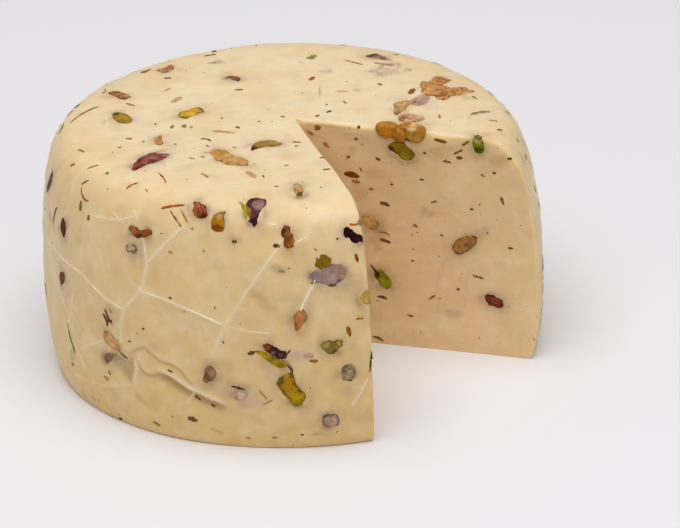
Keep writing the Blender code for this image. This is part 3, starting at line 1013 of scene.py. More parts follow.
KIND_FINISHES = {
    "pistachio": Finish("#9c841a", "#665008", (1.5, 0, 3, "#b8a23a"), (-4, 1, 2, "#66480e")),
    "pistachio_skin": Finish("#6c2812", "#380e08", (1, 0, 3, "#803c24"), streaks=0.25),
    "walnut": Finish("#ac702e", "#76400c", (-3, 1, 3, "#c48e4a"), (4, -1, 2.5, "#905418")),
    "almond": Finish("#b4783a", "#864a12", (1, 0, 2.5, "#c49052"), streaks=0.2),
    "veiled_nut": Finish("#9c7e64", "#a88c6a", (1, 0, 3, "#ac9076"), streaks=0.04, rim_width=1.2),
}
NUT_FINISHES = {
    "walnut_01": Finish("#ac7646", "#7c4c28", (3, 3, 2, "#8a5430"), (0, -4, 3, "#c08a58")),
    "walnut_02": Finish("#c08a5c", "#946442", (-3, 0, 2.5, "#aa7248")),
    "walnut_03": Finish("#c48a4c", "#8c521a", (0, -8, 5, "#cc9656"), (14, 6, 4, "#b4723c"), (-6, 11, 4,
        "#bc8242"), (-8, -2, 3, "#ac6e2a"), furrow_darkening=0.35),
    "walnut_04": Finish("#c2965c", "#926630", (3, 1, 4, "#ce9e60"), (-7, -2, 3, "#ae865c"), (7, 8, 2.6,
        "#b08c70"), furrow_darkening=0.2),
    "walnut_05": Finish("#cc9c70", "#8a4e22", (1.5, -2.5, 2, "#a8663a"), (2.5, 3, 2.4, "#d8b48c"),
        furrow_darkening=0.25),
    "walnut_06": Finish("#c4924e", "#905e28", (-7, -4, 4, "#ba843e"), (4, 2, 4, "#cc9e5a"), (-1, 5.5, 1.3,
        "#381608"), streaks=0.03, rim_width=0.6, furrow_darkening=0.03),
    "walnut_07": Finish("#8e5008", "#482208", (-1.8, -3, 2, "#563026"), (2, 3, 2.2, "#b06c08"),
        (0.5, 0, 1.6, "#a05c08")),
    # walnut_08's near-black patch at (4.2, 2.6) is painted shade in the dimple between its lobes.
    "walnut_08": Finish("#b07420", "#744c18", (-7.5, -2, 4.5, "#c0801e"), (7.5, -0.5, 4.5, "#b08830"),
        (6.5, -5.5, 2.6, "#d8b07c"), (4.2, 2.6, 1.5, "#2c180c"), streaks=0.02),
    "walnut_09": Finish("#a4743a", "#704416"),
    "pistachio_01": Finish("#947820", "#523c08", (1, -1, 4, "#a88024"), (-5.5, 4, 2.4, "#4c2808"),
        (5, 0, 2, "#7c7418"), streaks=0.05),
    "pistachio_02": Finish("#c89810", "#54480c", (2, -0.5, 3.2, "#d8ac30"), (-3, -1.5, 2.6, "#cc9e1c"),
        (-5.5, -5.5, 2.4, "#74503c"), (7, 3, 1.6, "#645008"), streaks=0.04, rim_width=1.5),
    "pistachio_03": Finish("#987430", "#664410", (-5, 7, 3.2, "#540808"), (4, -3, 3, "#a48440")),
    "pistachio_04": Finish("#5e301a", "#7e5632", (0.5, 1, 2, "#4c1e0a"), (-3, 5, 2, "#865a36")),
    "pistachio_05": Finish("#a4740e", "#663a08", (0, -3.4, 2.4, "#be9646"), (0, 3, 2.6, "#884408"),
        (-1.5, -1, 1.5, "#94700e")),
    "pistachio_06": Finish("#b88c50", "#8c6844", (1, 4, 2.2, "#5a3c2c"), (0, -4, 2.6, "#c49a5e")),
    "pistachio_07": Finish("#d0a854", "#a88434", (0, -2, 1.6, "#c0a03c"), (1, 2, 1.6, "#dab264"),
        streaks=0.05),
    "pistachio_08": Finish("#826a28", "#4c4416", (-3.2, -1.2, 2.0, "#a68e4a"), (1.2, 3, 1.6, "#5c5420"),
        (3.6, -1.4, 1.4, "#b49c54"), (0.4, -1, 1.2, "#746224"), (-3.6, 2.4, 1.2, "#948048")),
    "pistachio_09": Finish("#9e7e0c", "#5a3a08", (-4, -2, 2.5, "#ae9014"), (5, 3, 2, "#926e08"),
        streaks=0.05),
    "pistachio_10": Finish("#a88008", "#4a4408", (-2, -4.6, 3.4, "#b07c06"), (2, 3, 3.0, "#b09006"),
        (5, 4.4, 1.8, "#948a08"), (1.4, 7.6, 1.8, "#7c7c08"), (-6.2, -5.6, 1.8, "#5e5c08"),
        (0.4, -9.6, 1.8, "#6c6410"), streaks=0.02, rim_width=1.0),
    "pistachio_11": Finish("#7e6a0c", "#482c08", (1.5, 2, 2.8, "#8c8416"), (-1, -3.5, 2.6, "#8c680e"),
        (-5.6, -1.6, 1.6, "#4a2a0a"), streaks=0.05, rim_width=0.9),
    "pistachio_12": Finish("#78780e", "#383808", (0, -3, 2.2, "#bca852"), (0, 3, 2.4, "#445408")),
    "pistachio_13": Finish("#c0944e", "#92682a", (1, -1, 2.4, "#cca462")),
    "pistachio_14": Finish("#88800e", "#56400e", (1, 1, 3, "#969016"), (-4, -3, 2, "#462008")),
    "pistachio_skin_01": Finish("#845638", "#563620"),
    "pistachio_skin_02": Finish("#845a4e", "#583a32", (-2, -2, 2.5, "#9c7662"), (3, 2, 2, "#52322a")),
    "pistachio_skin_03": Finish("#8a453f", "#481c12", (0, -3, 2, "#ac7c70"), (-2, 4, 2, "#742c20"),
        (1, -9, 1.6, "#a87870"), (4, 11, 2, "#5a2c18"), streaks=0.65),
    "pistachio_skin_04": Finish("#562812", "#46281a", streaks=0.2),
    "pistachio_skin_05": Finish("#744012", "#502808"),
    "pistachio_skin_06": Finish("#925020", "#522c10", (-4, 0, 2.4, "#a25c2c"), (4, -1, 2.6, "#9a5420"),
        (0, 2.4, 1.6, "#5a3010"), streaks=0.2),
    "pistachio_skin_07": Finish("#8c4a24", "#5c220a", (-2, -2, 1.8, "#a05e3e"), (3, 3, 1.6, "#481608"),
        streaks=0.40),
    "pistachio_skin_08": Finish("#582e2a", "#28100c", (1.4, -2.6, 3.3, "#9a746e"), (-0.6, 7, 2.2,
        "#2a1210"), (-2.5, -6.5, 1.6, "#3a1816"), rim_width=0.7),
    "pistachio_skin_09": Finish("#2c080c", "#180808", (2, 2, 1.2, "#3c1214")),
    "pistachio_skin_10": Finish("#42201c", "#240c0a", (-3.8, -2.2, 2.4, "#8e460e"), (-0.4, 1, 0.9,
        "#80605c"), (3.4, 2.4, 0.9, "#6c4440"), (5.4, 2.8, 1, "#502a2c")),
    "almond_01": Finish("#c48848", "#8c5824", (-4, -1, 2, "#b07034"), streaks=0.1),
    "almond_02": Finish("#cea060", "#9a7444", (-4, -2, 2, "#be8848"), (4, 2, 2, "#ba8848"), streaks=0.1),
    "almond_03": Finish("#b07436", "#844408", (-1.5, 3, 2, "#a0580e"), (1, -2, 2, "#c08446"),
        streaks=0.12),
    "veiled_nut_01": Finish("#d8be9e", "#dcc29e", (3.5, 7, 2, "#a68864"), (-3, -4, 3, "#d4baa0"),
        (5, 0, 1.4, "#c49a68"), streaks=0.03),
    "veiled_nut_02": Finish("#b4927c", "#c4a680", (-4, -2, 2.5, "#ac8872"), streaks=0.03),
    "veiled_nut_03": Finish("#805c38", "#9c7a54", (-2, 2, 2, "#6c4a26"), (3, -2.4, 2, "#906a3e"),
        streaks=0.04),
    "veiled_nut_04": Finish("#9c7e72", "#80624e", (-7, 0, 3.2, "#907a7a"), (6, -1, 3, "#a68066"),
        (1.5, 2, 2.4, "#aa8e7e"), (5, 3.8, 1.2, "#523626"), streaks=0.03),
    "veiled_nut_05": Finish("#88603c", "#66401c", (1.5, -1, 2, "#a07a54"), (-2, 1, 1.8, "#704620"),
        streaks=0.04),
    "veiled_nut_06": Finish("#c09c80", "#c2a078", (-0.5, -3.6, 1.1, "#4c3630"), (0.5, 0.5, 2.2,
        "#ccae94"), (-2.4, 2.6, 1.2, "#8c6c58"), streaks=0.03, rim_width=1.2),
    "veiled_nut_07": Finish("#967c50", "#5c4e2c", (-2.6, -1, 1.5, "#605030"), (0.6, -0.8, 0.9, "#c0ae84"),
        (1.8, 2.4, 1.1, "#82703e"), (-0.4, 2, 0.9, "#b8a47c"), (-2.6, 3.6, 1.2, "#8c7a60"), (1, -3.2, 1.4,
        "#968458"), streaks=0.10),
    "veiled_nut_08": Finish("#b0927a", "#543628", (0.6, 0.6, 2.6, "#b89a80"), (-2.6, -2.6, 1.6,
        "#5a3c2c"), streaks=0.03, rim_width=2.0),
}
# Outlines of the nuts that lie open on the skin: millimetres across and downhill of the middle.
OUTLINES = {
    "walnut_01": ((-1.5, 8), (-4, 6), (-5.5, 3), (-3, -2), (0, -7), (2.5, -7), (5.5, -5), (5, -2),
        (2, 2)),
    "walnut_02": ((5, 3.5), (1, 2), (-4, 4), (-7, 3.5), (-4.5, -1), (-1, -3.5), (3.5, -4), (6, -1.5)),
    "walnut_03": ((9.5, -8), (14.5, -4), (12, -2), (14.5, 2.5), (18, 5), (17, 9.5), (13.5, 9), (10, 11.5),
        (8, 7), (4.5, 2.5), (1, 5), (-1.5, 4), (-1, 9.5), (-3, 14), (-5.5, 12), (-9, 16.5), (-10.5, 12),
        (-8.5, 9), (-13, 5), (-10.5, 1), (-15.5, -3), (-12, -7.5), (-7.5, -7), (-6, -10.5), (0, -12.5),
        (3, -9.5)),
    "walnut_04": ((-5.5, -5), (0, -3), (5, -3), (7.5, 0), (8.5, 5), (8.5, 10), (5.5, 9.5), (3, 5.5),
        (0.5, 3.5), (-2.5, 2.5), (-7.5, -1), (-11, -3.5)),
    "walnut_05": ((6.5, -4), (2.5, -6), (-2.5, -5.5), (-4, -2), (-4.6, 1.5), (-3, 4.5), (0.5, 7.8),
        (2.8, 7.4), (5.5, 4), (7.8, 0)),
    "walnut_06": ((-12.5, -1.5), (-11, -3.5), (-12, -6), (-9.5, -8), (-7.5, -6.5), (-6, -8.5), (-2, -5.5),
        (3, -3.5), (6, -3.5), (11, 0), (12.5, 3.5), (14, 6), (11, 7), (8, 6.5), (5, 7.5), (1, 7.5),
        (-1, 5), (-3.5, 5.5), (-7, 2)),
    "walnut_07": ((-1.5, -6), (1, -5.5), (1.5, -2.5), (3, -1), (2.5, 0.5), (3.5, 2), (2.5, 3.5), (3, 4.5),
        (1.5, 5.5), (-1.5, 5), (-2.5, 3), (-1.5, 0.5), (-3, -0.5), (-3, -3.5)),
    "pistachio_01": ((-4.5, 6), (-7, 5), (-8, 2.5), (-6.5, -0.5), (-3, -3.5), (2.5, -5.5), (7, -5),
        (8, -2.5), (7, 1.5), (1.5, 4)),
    "pistachio_02": ((2.5, 6.5), (-1.5, 5.5), (-3, 2.5), (-7, 0.5), (-8.5, -2.5), (-6, -5.5),
        (-0.5, -7.5), (-0.5, -5.5), (2, -2.5), (5.5, -0.5), (8.5, 1.5), (8, 3.5), (5.5, 5.5)),
    "pistachio_03": ((-6, 3.5), (-5, -2), (-1.5, -5), (3, -6.5), (8, -2.5), (7, 1), (0.5, 3), (-2, 6),
        (-4.5, 10), (-5.5, 7)),
    "pistachio_04": ((-1, -6), (2.5, -5.5), (3.5, -0.5), (1, 3.5), (-3, 7.5), (-5.5, 5), (-3, 0)),
    "pistachio_05": ((-3.2, -3), (-0.6, -5), (3.2, -6), (2.6, -2.5), (3.8, 1), (3.1, 4.5), (0, 5),
        (-3.1, 4), (-3.8, 0)),
    "pistachio_06": ((-2.5, -6.5), (-0.5, -9), (1.5, -7), (2.5, -0.5), (1.5, 6), (0, 8.5), (-1.5, 6),
        (-2.5, 0.5)),
    "pistachio_07": ((-3, 0), (-1.5, -3), (1, -4), (3, -3), (3, 3.5), (-1, 3.5)),
    "pistachio_08": ((-6, -1), (-4, -3), (-1.5, -3.5), (0.5, -2.5), (2.5, -3.5), (6, -2.5), (5, 0.5),
        (2.5, 2.5), (0, 4.5), (-2.5, 4), (-5, 1)),
    "pistachio_09": ((-8.2, -4.6), (-6.2, -5.2), (-1.5, -4.2), (1.6, -2.2), (4.6, -0.6), (7.6, 0.4),
        (9, 2.6), (7.4, 4.2), (4.8, 4.2), (1.6, 3), (-1.2, 0.6), (-4.2, -1.6), (-6.8, -3.4)),
    "pistachio_10": ((-7.6, -5), (-6.2, -7.8), (-2.6, -9.8), (0.4, -11.4), (1.8, -8.4), (2, -4.6),
        (3.8, -1.8), (6.6, 0.4), (6.6, 4.2), (4.4, 7.4), (1.8, 8.8), (-0.6, 7.4), (-2.2, 3.4),
        (-4.6, 0.6), (-6.6, -2.4)),
    "pistachio_11": ((-7.6, -2.4), (-6.2, -4.4), (-3.4, -6.0), (0, -6.6), (2.2, -5.6), (3.4, -3.8),
        (6, -1.9), (7.8, 0.2), (6.8, 2.2), (4.8, 3.9), (1.6, 4.2), (-0.8, 2.6), (-3.2, 0.9), (-6, -0.4)),
    "pistachio_skin_01": ((4, 4), (-0.5, 4.5), (-2.5, 1.5), (-3, -2), (-0.5, -6), (1, -4.5), (2, 0)),
    "pistachio_skin_02": ((6, -2.5), (4.5, 2), (2, 4), (-1.5, 3), (-5.5, 1.5), (-6.5, -2), (-4.5, -3),
        (-1.5, -1), (1, -2.5), (3.5, -3.5)),
    "pistachio_skin_03": ((3.5, 13.5), (-2, 8), (-5.5, 1.5), (-6.5, -4.5), (-6, -7.5), (-3, -9.5),
        (1, -12.5), (3.5, -8), (5, -2), (4, 3.5), (5, 9), (6, 14)),
    "pistachio_skin_05": ((-3.5, -1.5), (1, -4), (4, -2.5), (1.5, 3), (-2, 5), (-3.5, 2)),
    "pistachio_skin_06": ((-7.5, 0), (-5.5, -2.5), (-2.5, -2), (0.5, -0.8), (3.5, -2.5), (6.5, -2.5),
        (7.5, -0.5), (4.5, 1), (3.5, 2.5), (1, 2.5), (-1.5, 3.5), (-5.5, 1.5)),
    "pistachio_skin_07": ((-4.5, -4), (-2, -4.5), (3, -3), (3.5, 0), (5, 2), (3.5, 4), (-1, 4), (-4, 1),
        (-3.5, -1.5)),
    "pistachio_skin_08": ((-4.5, -4), (-3.5, -7), (-0.5, -8.5), (2.5, -7.5), (4.8, -7), (5, -2.5),
        (3.5, -0.5), (2, 2.5), (1.5, 5.5), (1.5, 8), (-0.5, 9.5), (-1, 7.5), (-3.5, 6.5), (-2, 4),
        (-2.5, 0), (-5, -2)),
    "pistachio_skin_09": ((-4.8, -2), (-3.4, -4.6), (-2, -5.4), (-0.8, -3.4), (0.6, -3.6), (1.5, -1),
        (5, 0), (4.8, 4), (2.6, 3), (1, 4), (-1.2, 3), (-1.8, 0.8), (-3.6, 1)),
    "pistachio_skin_10": ((-5.8, -2.6), (-3.8, -3.9), (-0.8, -3.2), (1.2, -1.6), (3.4, -0.2), (5.6, 0.2),
        (6.8, 2.8), (5, 4.6), (3.4, 4.2), (1.6, 4.8), (0.4, 3.2), (-1.4, 3), (-2.8, 1), (-4.7, 0)),
    "almond_01": ((-0.5, 2.5), (-5.5, -0.5), (-7, -4), (-0.5, -2.5), (5, -0.5), (6, 2.5), (3, 4)),
    "almond_02": ((-6, -4.5), (-1, -5), (2.5, -2.5), (6.5, 1), (6, 4), (2, 4.8), (-3, 3), (-6, 0)),
    "almond_03": ((-3, -2), (-1.5, -4), (0.5, -5.5), (2.5, -5.2), (3.8, -3), (3.5, 0.5), (1, 3.5),
        (-1, 6), (-2.6, 6.2), (-3, 2)),
    "veiled_nut_01": ((1.5, -8.5), (6, 1.5), (6.5, 9), (-1.5, 7.5), (-6.5, 0.5), (-6, -7.5)),
    "veiled_nut_02": ((-4.5, -7.5), (0, -7.5), (4, -4), (9, 3.5), (4.5, 6.5), (-3, 3), (-7.5, -2)),
    "veiled_nut_03": ((-4, -0.5), (-0.5, -3), (6.5, -3.5), (2, 0.5), (-1, 5), (-4, 3.5)),
    "veiled_nut_04": ((-10.5, 0.5), (-7, -2.8), (-3, -4), (2, -5.5), (6.5, -5), (9, -1.5), (9, 2), (6, 4),
        (3, 5.5), (-2, 5), (-7.5, 3)),
    "veiled_nut_05": ((-4, 4), (-3, -2), (-1, -5), (2.5, -4.5), (4.5, 0), (1.5, 3.5), (-2, 5.5)),
    "veiled_nut_06": ((-5, -3.5), (-1, -4.6), (3, -3.2), (4.5, -1.5), (4, 1.5), (1.5, 3.5), (-1.5, 4),
        (-4, 2.5)),
    "veiled_nut_07": ((-4.2, -1.6), (-2.6, -4.4), (0.6, -5.2), (3.6, -4), (3.4, -1), (4.2, 1.4),
        (2.8, 3.4), (0.4, 5.2), (-2, 4.2), (-4, 3.4), (-3.6, 1)),
    "veiled_nut_08": ((-4.8, 0), (-4, -3), (-1.5, -4.5), (1.5, -4.3), (4, -2.8), (4.8, 0), (4, 3),
        (1.5, 4.2), (-1.5, 4.2), (-4, 2.8)),
}
# The cluster of walnut lobes across the top edge of the back cut: apex distance, height,
# depth behind the cut, then the lobe's three radii.
WALNUT_LOBES = (
    (48.0, 122.3, 1.6, 5.9, 5.2, 5.6), (63.0, 121.0, 1.6, 5.9, 5.6, 5.6), (55.2, 119.4, 2.2, 5.6, 4.0, 4.8),
    (59.0, 123.0, 4.0, 5.2, 3.6, 5.4),
)
# How proud, ragged and wrinkled each kind is, in millimetres.
KIND_SHAPES = {
    "pistachio": (0.24, 0.25, 0.08),
    "pistachio_skin": (0.26, 0.35, 0.12),
    "walnut": (0.50, 0.35, 0.36),
    "almond": (0.20, 0.25, 0.08),
    "veiled_nut": (0.10, 0.35, 0.03),
}
VOXEL = 0.40
SLAB_DEPTH = 2.4
SLAB_RISE = 0.6


def remeshed(name, points, faces):
    """A closed form in millimetres, remeshed evenly and softened, as points and faces."""
    copy = add_mesh(name + "_form", points, faces)
    face_out(copy)
    voxels = copy.modifiers.new("voxels", "REMESH")
    voxels.mode = "VOXEL"
    voxels.voxel_size = VOXEL * MM
    soften = copy.modifiers.new("soften", "SMOOTH")
    soften.factor = 0.5
    soften.iterations = 3
    settle_modifiers(copy)
    done = copy.data
    flat = np.zeros(len(done.vertices) * 3, np.float32)
    done.vertices.foreach_get("co", flat)
    faces = [list(face.vertices) for face in done.polygons]
    bpy.data.objects.remove(copy)
    return flat.reshape(-1, 3).astype(float) / MM, faces


def rounded(corners):
    """A closed outline with each corner cut once, which keeps it angular but not sharp."""
    corners = np.array(corners, float)
    after = np.roll(corners, -1, axis=0)
    return np.stack([0.8 * corners + 0.2 * after, 0.2 * corners + 0.8 * after], 1).reshape(-1, 2)


def resampled(loop, step):
    """A closed outline with a point about every step."""
    made = []
    for start, end in zip(loop, np.roll(loop, -1, axis=0)):
        count = max(1, round(float(np.hypot(*(end - start))) / step))
        made += [start + (end - start) * i / count for i in range(count)]
    return np.array(made)


def inside_distance(loop, points):
    """How far inside a closed outline each point lies; outside it the distance is negative."""
    nearest = np.full(len(points), 1e9)
    crossings = np.zeros(len(points), int)
    for start, end in zip(loop, np.roll(loop, -1, axis=0)):
        span = end - start
        share = np.clip(((points - start) @ span) / max(span @ span, 1e-9), 0, 1)
        nearest = np.minimum(nearest, np.hypot(*(points - start - share[:, None] * span).T))
        rises = (start[1] > points[:, 1]) != (end[1] > points[:, 1])
        if abs(span[1]) > 1e-9:
            meets = start[0] + (points[:, 1] - start[1]) * span[0] / span[1]
            crossings += rises & (points[:, 0] < meets)
    return np.where(crossings % 2 == 1, nearest, -nearest)


def flat_axis(flat):
    """The direction in which flat points spread furthest, pointing across or downhill."""
    axis = np.linalg.svd(flat - flat.mean(0), full_matrices=False)[2][0]
    return axis if axis[0] + 0.3 * axis[1] > 0 else -axis


def cast(cheese, places, out, start, reach):
    """Where rays from outside meet the cheese. A place whose ray misses stays as it is."""
    laid = []
    for place, normal in zip(places, out):
        hit = cheese.ray_cast(Vector(place + normal * start), Vector(-normal), reach)[0]
        laid.append(place if hit is None else np.array(hit))
    return np.array(laid)


class Seat:
    """Where something sits on the cheese: a place on the skin or on a cut face."""

    def __init__(self, cheese, face, first, second):
        self.cheese = cheese
        self.face = face
        self.first = first
        self.second = second

    def lay(self, flat, lift):
        """Points at flat places across and downhill of the seat, lifted off the cheese."""
        if self.face == "skin":
            run = np.clip(self.second + flat[:, 1], 0.5, BASE_RUN - 0.5)
            reach = np.interp(run, PROFILE[:, 2], PROFILE[:, 0])
            azimuth = math.radians(self.first) + flat[:, 0] / np.maximum(reach, 1.0)
            places, _, _, out = skin_frame(azimuth, run)
            out = np.where((run < TOP_RADIUS)[:, None], np.array([0.0, 0.0, 1.0]), out)
        else:
            away, right, normal = cut_frame(self.face)
            along = self.first + flat[:, 0] * (right @ away)
            plan = APEX + along[:, None] * away[:2]
            places = np.column_stack([plan, self.second - flat[:, 1]])
            out = np.tile(normal, (len(flat), 1))
        return cast(self.cheese, places, out, 5, 9) + out * np.asarray(lift)[:, None]


def seat_of(node, cheese):
    """The seat at the middle of a frame node, and the node's points in the seat's plane."""
    points = np.array([vertex.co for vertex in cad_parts[node].data.vertices]) / MM
    middle = points.mean(0)
    normal = np.array(cheese.find_nearest(middle)[1])
    for face in ("back_cut", "front_cut"):
        away, right, out = cut_frame(face)
        plan = middle[:2] - APEX
        if out @ normal > 0.9 and abs(plan @ out[:2]) < SLAB_DEPTH * 2.5 and plan @ away[:2] > 0:
            flat = np.column_stack([(points - middle) @ right, middle[2] - points[:, 2]])
            return Seat(cheese, face, float(plan @ away[:2]), float(middle[2])), flat
    azimuth = math.atan2(middle[1], middle[0])
    reach = math.hypot(middle[0], middle[1]) / float(off_round(np.array(azimuth)))
    level = middle[2] / slope(middle[0], middle[1])
    run = float(PROFILE[np.hypot(PROFILE[:, 0] - reach, PROFILE[:, 1] - level).argmin(), 2])
    if reach < TOP_RADIUS and level > HEIGHT - 6:
        run = reach
    _, right, down, _ = skin_frame(np.array(azimuth), np.array(run))
    flat = np.column_stack([(points - middle) @ right, (points - middle) @ down])
    return Seat(cheese, "skin", math.degrees(azimuth), run), flat


def outline_of(node, flat, seed):
    """A nut's outline: its own where it has one, or a chipped oval of its frame node's size."""
    if node in OUTLINES:
        return rounded(OUTLINES[node])
    rng = np.random.default_rng(seed)
    axis = flat_axis(flat)
    side = np.array([-axis[1], axis[0]])
    half = np.array([np.abs(flat @ axis).max(), np.abs(flat @ side).max()])
    turns = (np.arange(10) + rng.uniform(-0.3, 0.3, 10)) * math.tau / 10
    reach = half * rng.uniform(0.82, 1.05, (10, 1)) * np.stack([np.cos(turns), np.sin(turns)], 1)
    return rounded(reach[:, :1] * axis + reach[:, 1:] * side)


def slab(loop):
    """A flat-sided form over an outline, from below the cheese's surface to above it."""
    count = len(loop)
    under = np.column_stack([loop, np.full(count, -SLAB_DEPTH)])
    above = np.column_stack([loop, np.full(count, SLAB_RISE)])
    faces = [list(range(count)), list(range(2 * count - 1, count - 1, -1))]
    faces += [[i, (i + 1) % count, count + (i + 1) % count, count + i] for i in range(count)]
    return np.concatenate([under, above]), faces


def paint(finish, flat, edge, axis, seed):
    """Colours of a nut's points from how far inside its outline they lie."""
    solid = np.column_stack([flat, np.zeros(len(flat))])
    lumps = waves(solid, 4.5, seed)
    specks = waves(solid, 1.6, seed + 1)
    rim = smooth(edge + 0.25 * specks + 0.6 * lumps, 0.0, finish.rim_width * 1.6)[:, None]
    colour = finish.rim + (finish.flesh - finish.rim) * (0.25 + 0.75 * rim)
    for across, down, radius, tone in finish.patches:
        gap = np.hypot(flat[:, 0] - across, flat[:, 1] - down) + 0.35 * lumps + 0.2 * specks
        share = smooth(gap, radius * 1.25, radius * 0.6)[:, None] * (0.45 + 0.55 * rim)
        colour = colour + (tone - colour) * share
    stretched = np.column_stack([flat @ axis / 6, flat @ np.array([-axis[1], axis[0]]), 0 * edge])
    tone = 1 + 0.12 * lumps + 0.12 * specks + finish.streaks * waves(stretched, 1.3, seed + 2)
    return np.clip(colour * tone[:, None], 0.002, 0.95)


def inside_cuts(points):
    """Points that would stand out of a cut face, laid back on it."""
    for face in ("back_cut", "front_cut"):
        away, _, out = cut_frame(face)
        plan = points[:, :2] - APEX
        ahead = plan @ away[:2]
        beyond = plan @ out[:2]
        near = (ahead > 0) & (beyond > 0.25) & (beyond < 8)
        points = points - np.where(near, beyond - 0.25, 0.0)[:, None] * out
    return points


def build_nut(node, cheese, seed):
    """One nut broken open by the knife or pressed flat by the film, flush with the cheese."""
    kind = kind_of(node)
    proud, ragged, wrinkled = KIND_SHAPES[kind]
    seat, node_flat = seat_of(node, cheese)
    loop = resampled(outline_of(node, node_flat, seed), 0.6)
    chips = np.column_stack([loop, np.zeros(len(loop))])
    loop = loop + ragged * np.stack([
        0.6 * waves(chips, 3.5, seed + 1) + 0.4 * waves(chips, 1.6, seed + 2),
        0.6 * waves(chips, 3.5, seed + 3) + 0.4 * waves(chips, 1.6, seed + 4)], 1)
    points, faces = remeshed(node, *slab(loop))
    flat = points[:, :2]
    edge = inside_distance(loop, flat)
    solid = np.column_stack([flat, np.zeros(len(flat))])
    size = 6.0 if kind == "walnut" else 4.2
    ridges = np.clip(1 - 2 * np.abs(waves(solid, size, seed + 5)), -1, 1)
    dome = smooth(edge, -0.7, 0.5)
    top = -0.55 + (0.55 + proud) * dome + wrinkled * ridges * smooth(edge, 0.3, 1.6)
    low = -0.9 - (SLAB_DEPTH - 0.9) * smooth(edge, 0.0, 3.0)
    share = np.clip((points[:, 2] + SLAB_DEPTH) / (SLAB_DEPTH + SLAB_RISE), 0, 1)
    laid = seat.lay(flat, low + (top - low) * share)
    finish = NUT_FINISHES.get(node, KIND_FINISHES[kind])
    colours = paint(finish, flat, edge, flat_axis(loop), seed + 6)
    # Walnuts are painted darker in the furrows of their wrinkle relief.
    if kind == "walnut":
        colours = colours * (1 - finish.furrow_darkening * smooth(ridges, 0.0, -0.9)[:, None])
    if seat.face == "skin":
        laid = inside_cuts(laid)
    made = add_mesh(node + "_kernel", laid, faces, colours=colours, slot=MATERIALS[kind])
    face_out(made)
    declare(made, node)


def build_lobed_nut(node, seed):
    """The walnut whose rounded lobes stand across the top edge of the back cut."""
    away, right, out = cut_frame("back_cut")
    points = []
    faces = []
    bm = bmesh.new()
    bmesh.ops.create_icosphere(bm, subdivisions=3, radius=1.0)
    ball = np.array([vertex.co for vertex in bm.verts])
    ball_faces = [[vertex.index for vertex in face.verts] for face in bm.faces]
    bm.free()
    centres = []
    for along, height, behind, wide, tall, deep in WALNUT_LOBES:
        centre = np.array([*(APEX + along * away[:2]), height]) - out * behind
        centres.append((centre, wide))
        first = sum(len(part) for part in points)
        points.append(centre + ball[:, :1] * wide * right + ball[:, 1:2] * deep * out
                      + ball[:, 2:] * tall * np.array([0, 0, 1.0]))
        faces += [[first + corner for corner in face] for face in ball_faces]
    points, faces = remeshed(node, np.concatenate(points), faces)
    middle = centres[2][0]
    moved = points + 0.12 * unit(points - middle) * waves(points, 4, seed)[:, None]
    stand = (moved[:, :2] - APEX) @ out[:2]
    moved = moved - np.where(stand > 0, stand - 1.5 * np.tanh(stand / 2.4), 0.0)[:, None] * out
    stand = moved[:, 2] - HEIGHT * slope(moved[:, 0], moved[:, 1])
    moved[:, 2] -= np.where(stand > 0, stand - 1.1 * np.tanh(stand / 1.8), 0.0)
    # Each lobe is amber in its middle and brown in the valleys between lobes.
    reach = np.array([np.linalg.norm(points - centre, axis=1) / wide for centre, wide in centres])
    valley = smooth(np.sort(reach, axis=0)[1] - reach.min(0), 0.16, 0.0)[:, None]
    flat = np.column_stack([(points - middle) @ right, middle[2] - points[:, 2]])
    finish = NUT_FINISHES[node]
    colours = paint(finish, flat, np.full(len(points), 3.0), np.array([1.0, 0.0]), seed + 2)
    colours = colours + (finish.rim - colours) * 0.5 * valley
    made = add_mesh(node + "_kernel", moved, faces, colours=colours,
                    slot=MATERIALS["walnut"])
    face_out(made)
    declare(made, node)


def cheese_surface():
    """A search tree over the finished cheese, in millimetres."""
    mesh = bpy.data.objects["cheese_body"].data
    points = [vertex.co / MM for vertex in mesh.vertices]
    faces = [list(face.vertices) for face in mesh.polygons]
    return BVHTree.FromPolygons(points, faces)


# The one nut that is made of whole lobes, and the first nut's seed and the step to the next.
LOBED_NUT = "walnut_08"
NUT_SEED = 100
NUT_SEED_STEP = 10


class CHEESE_OT_nuts(bpy.types.Operator):
    """Make every nut that the frame holds"""

    bl_idname = "cheese.make_nuts"
    bl_label = "Nuts"

    def execute(self, context):
        cheese = cheese_surface()
        for index, node in enumerate(nut_nodes()):
            seed = NUT_SEED + NUT_SEED_STEP * index
            if node == LOBED_NUT:
                build_lobed_nut(node, seed)
            else:
                build_nut(node, cheese, seed)
        return {"FINISHED"}


# ---------------------------------------------------------------- crumbs, flakes and threads


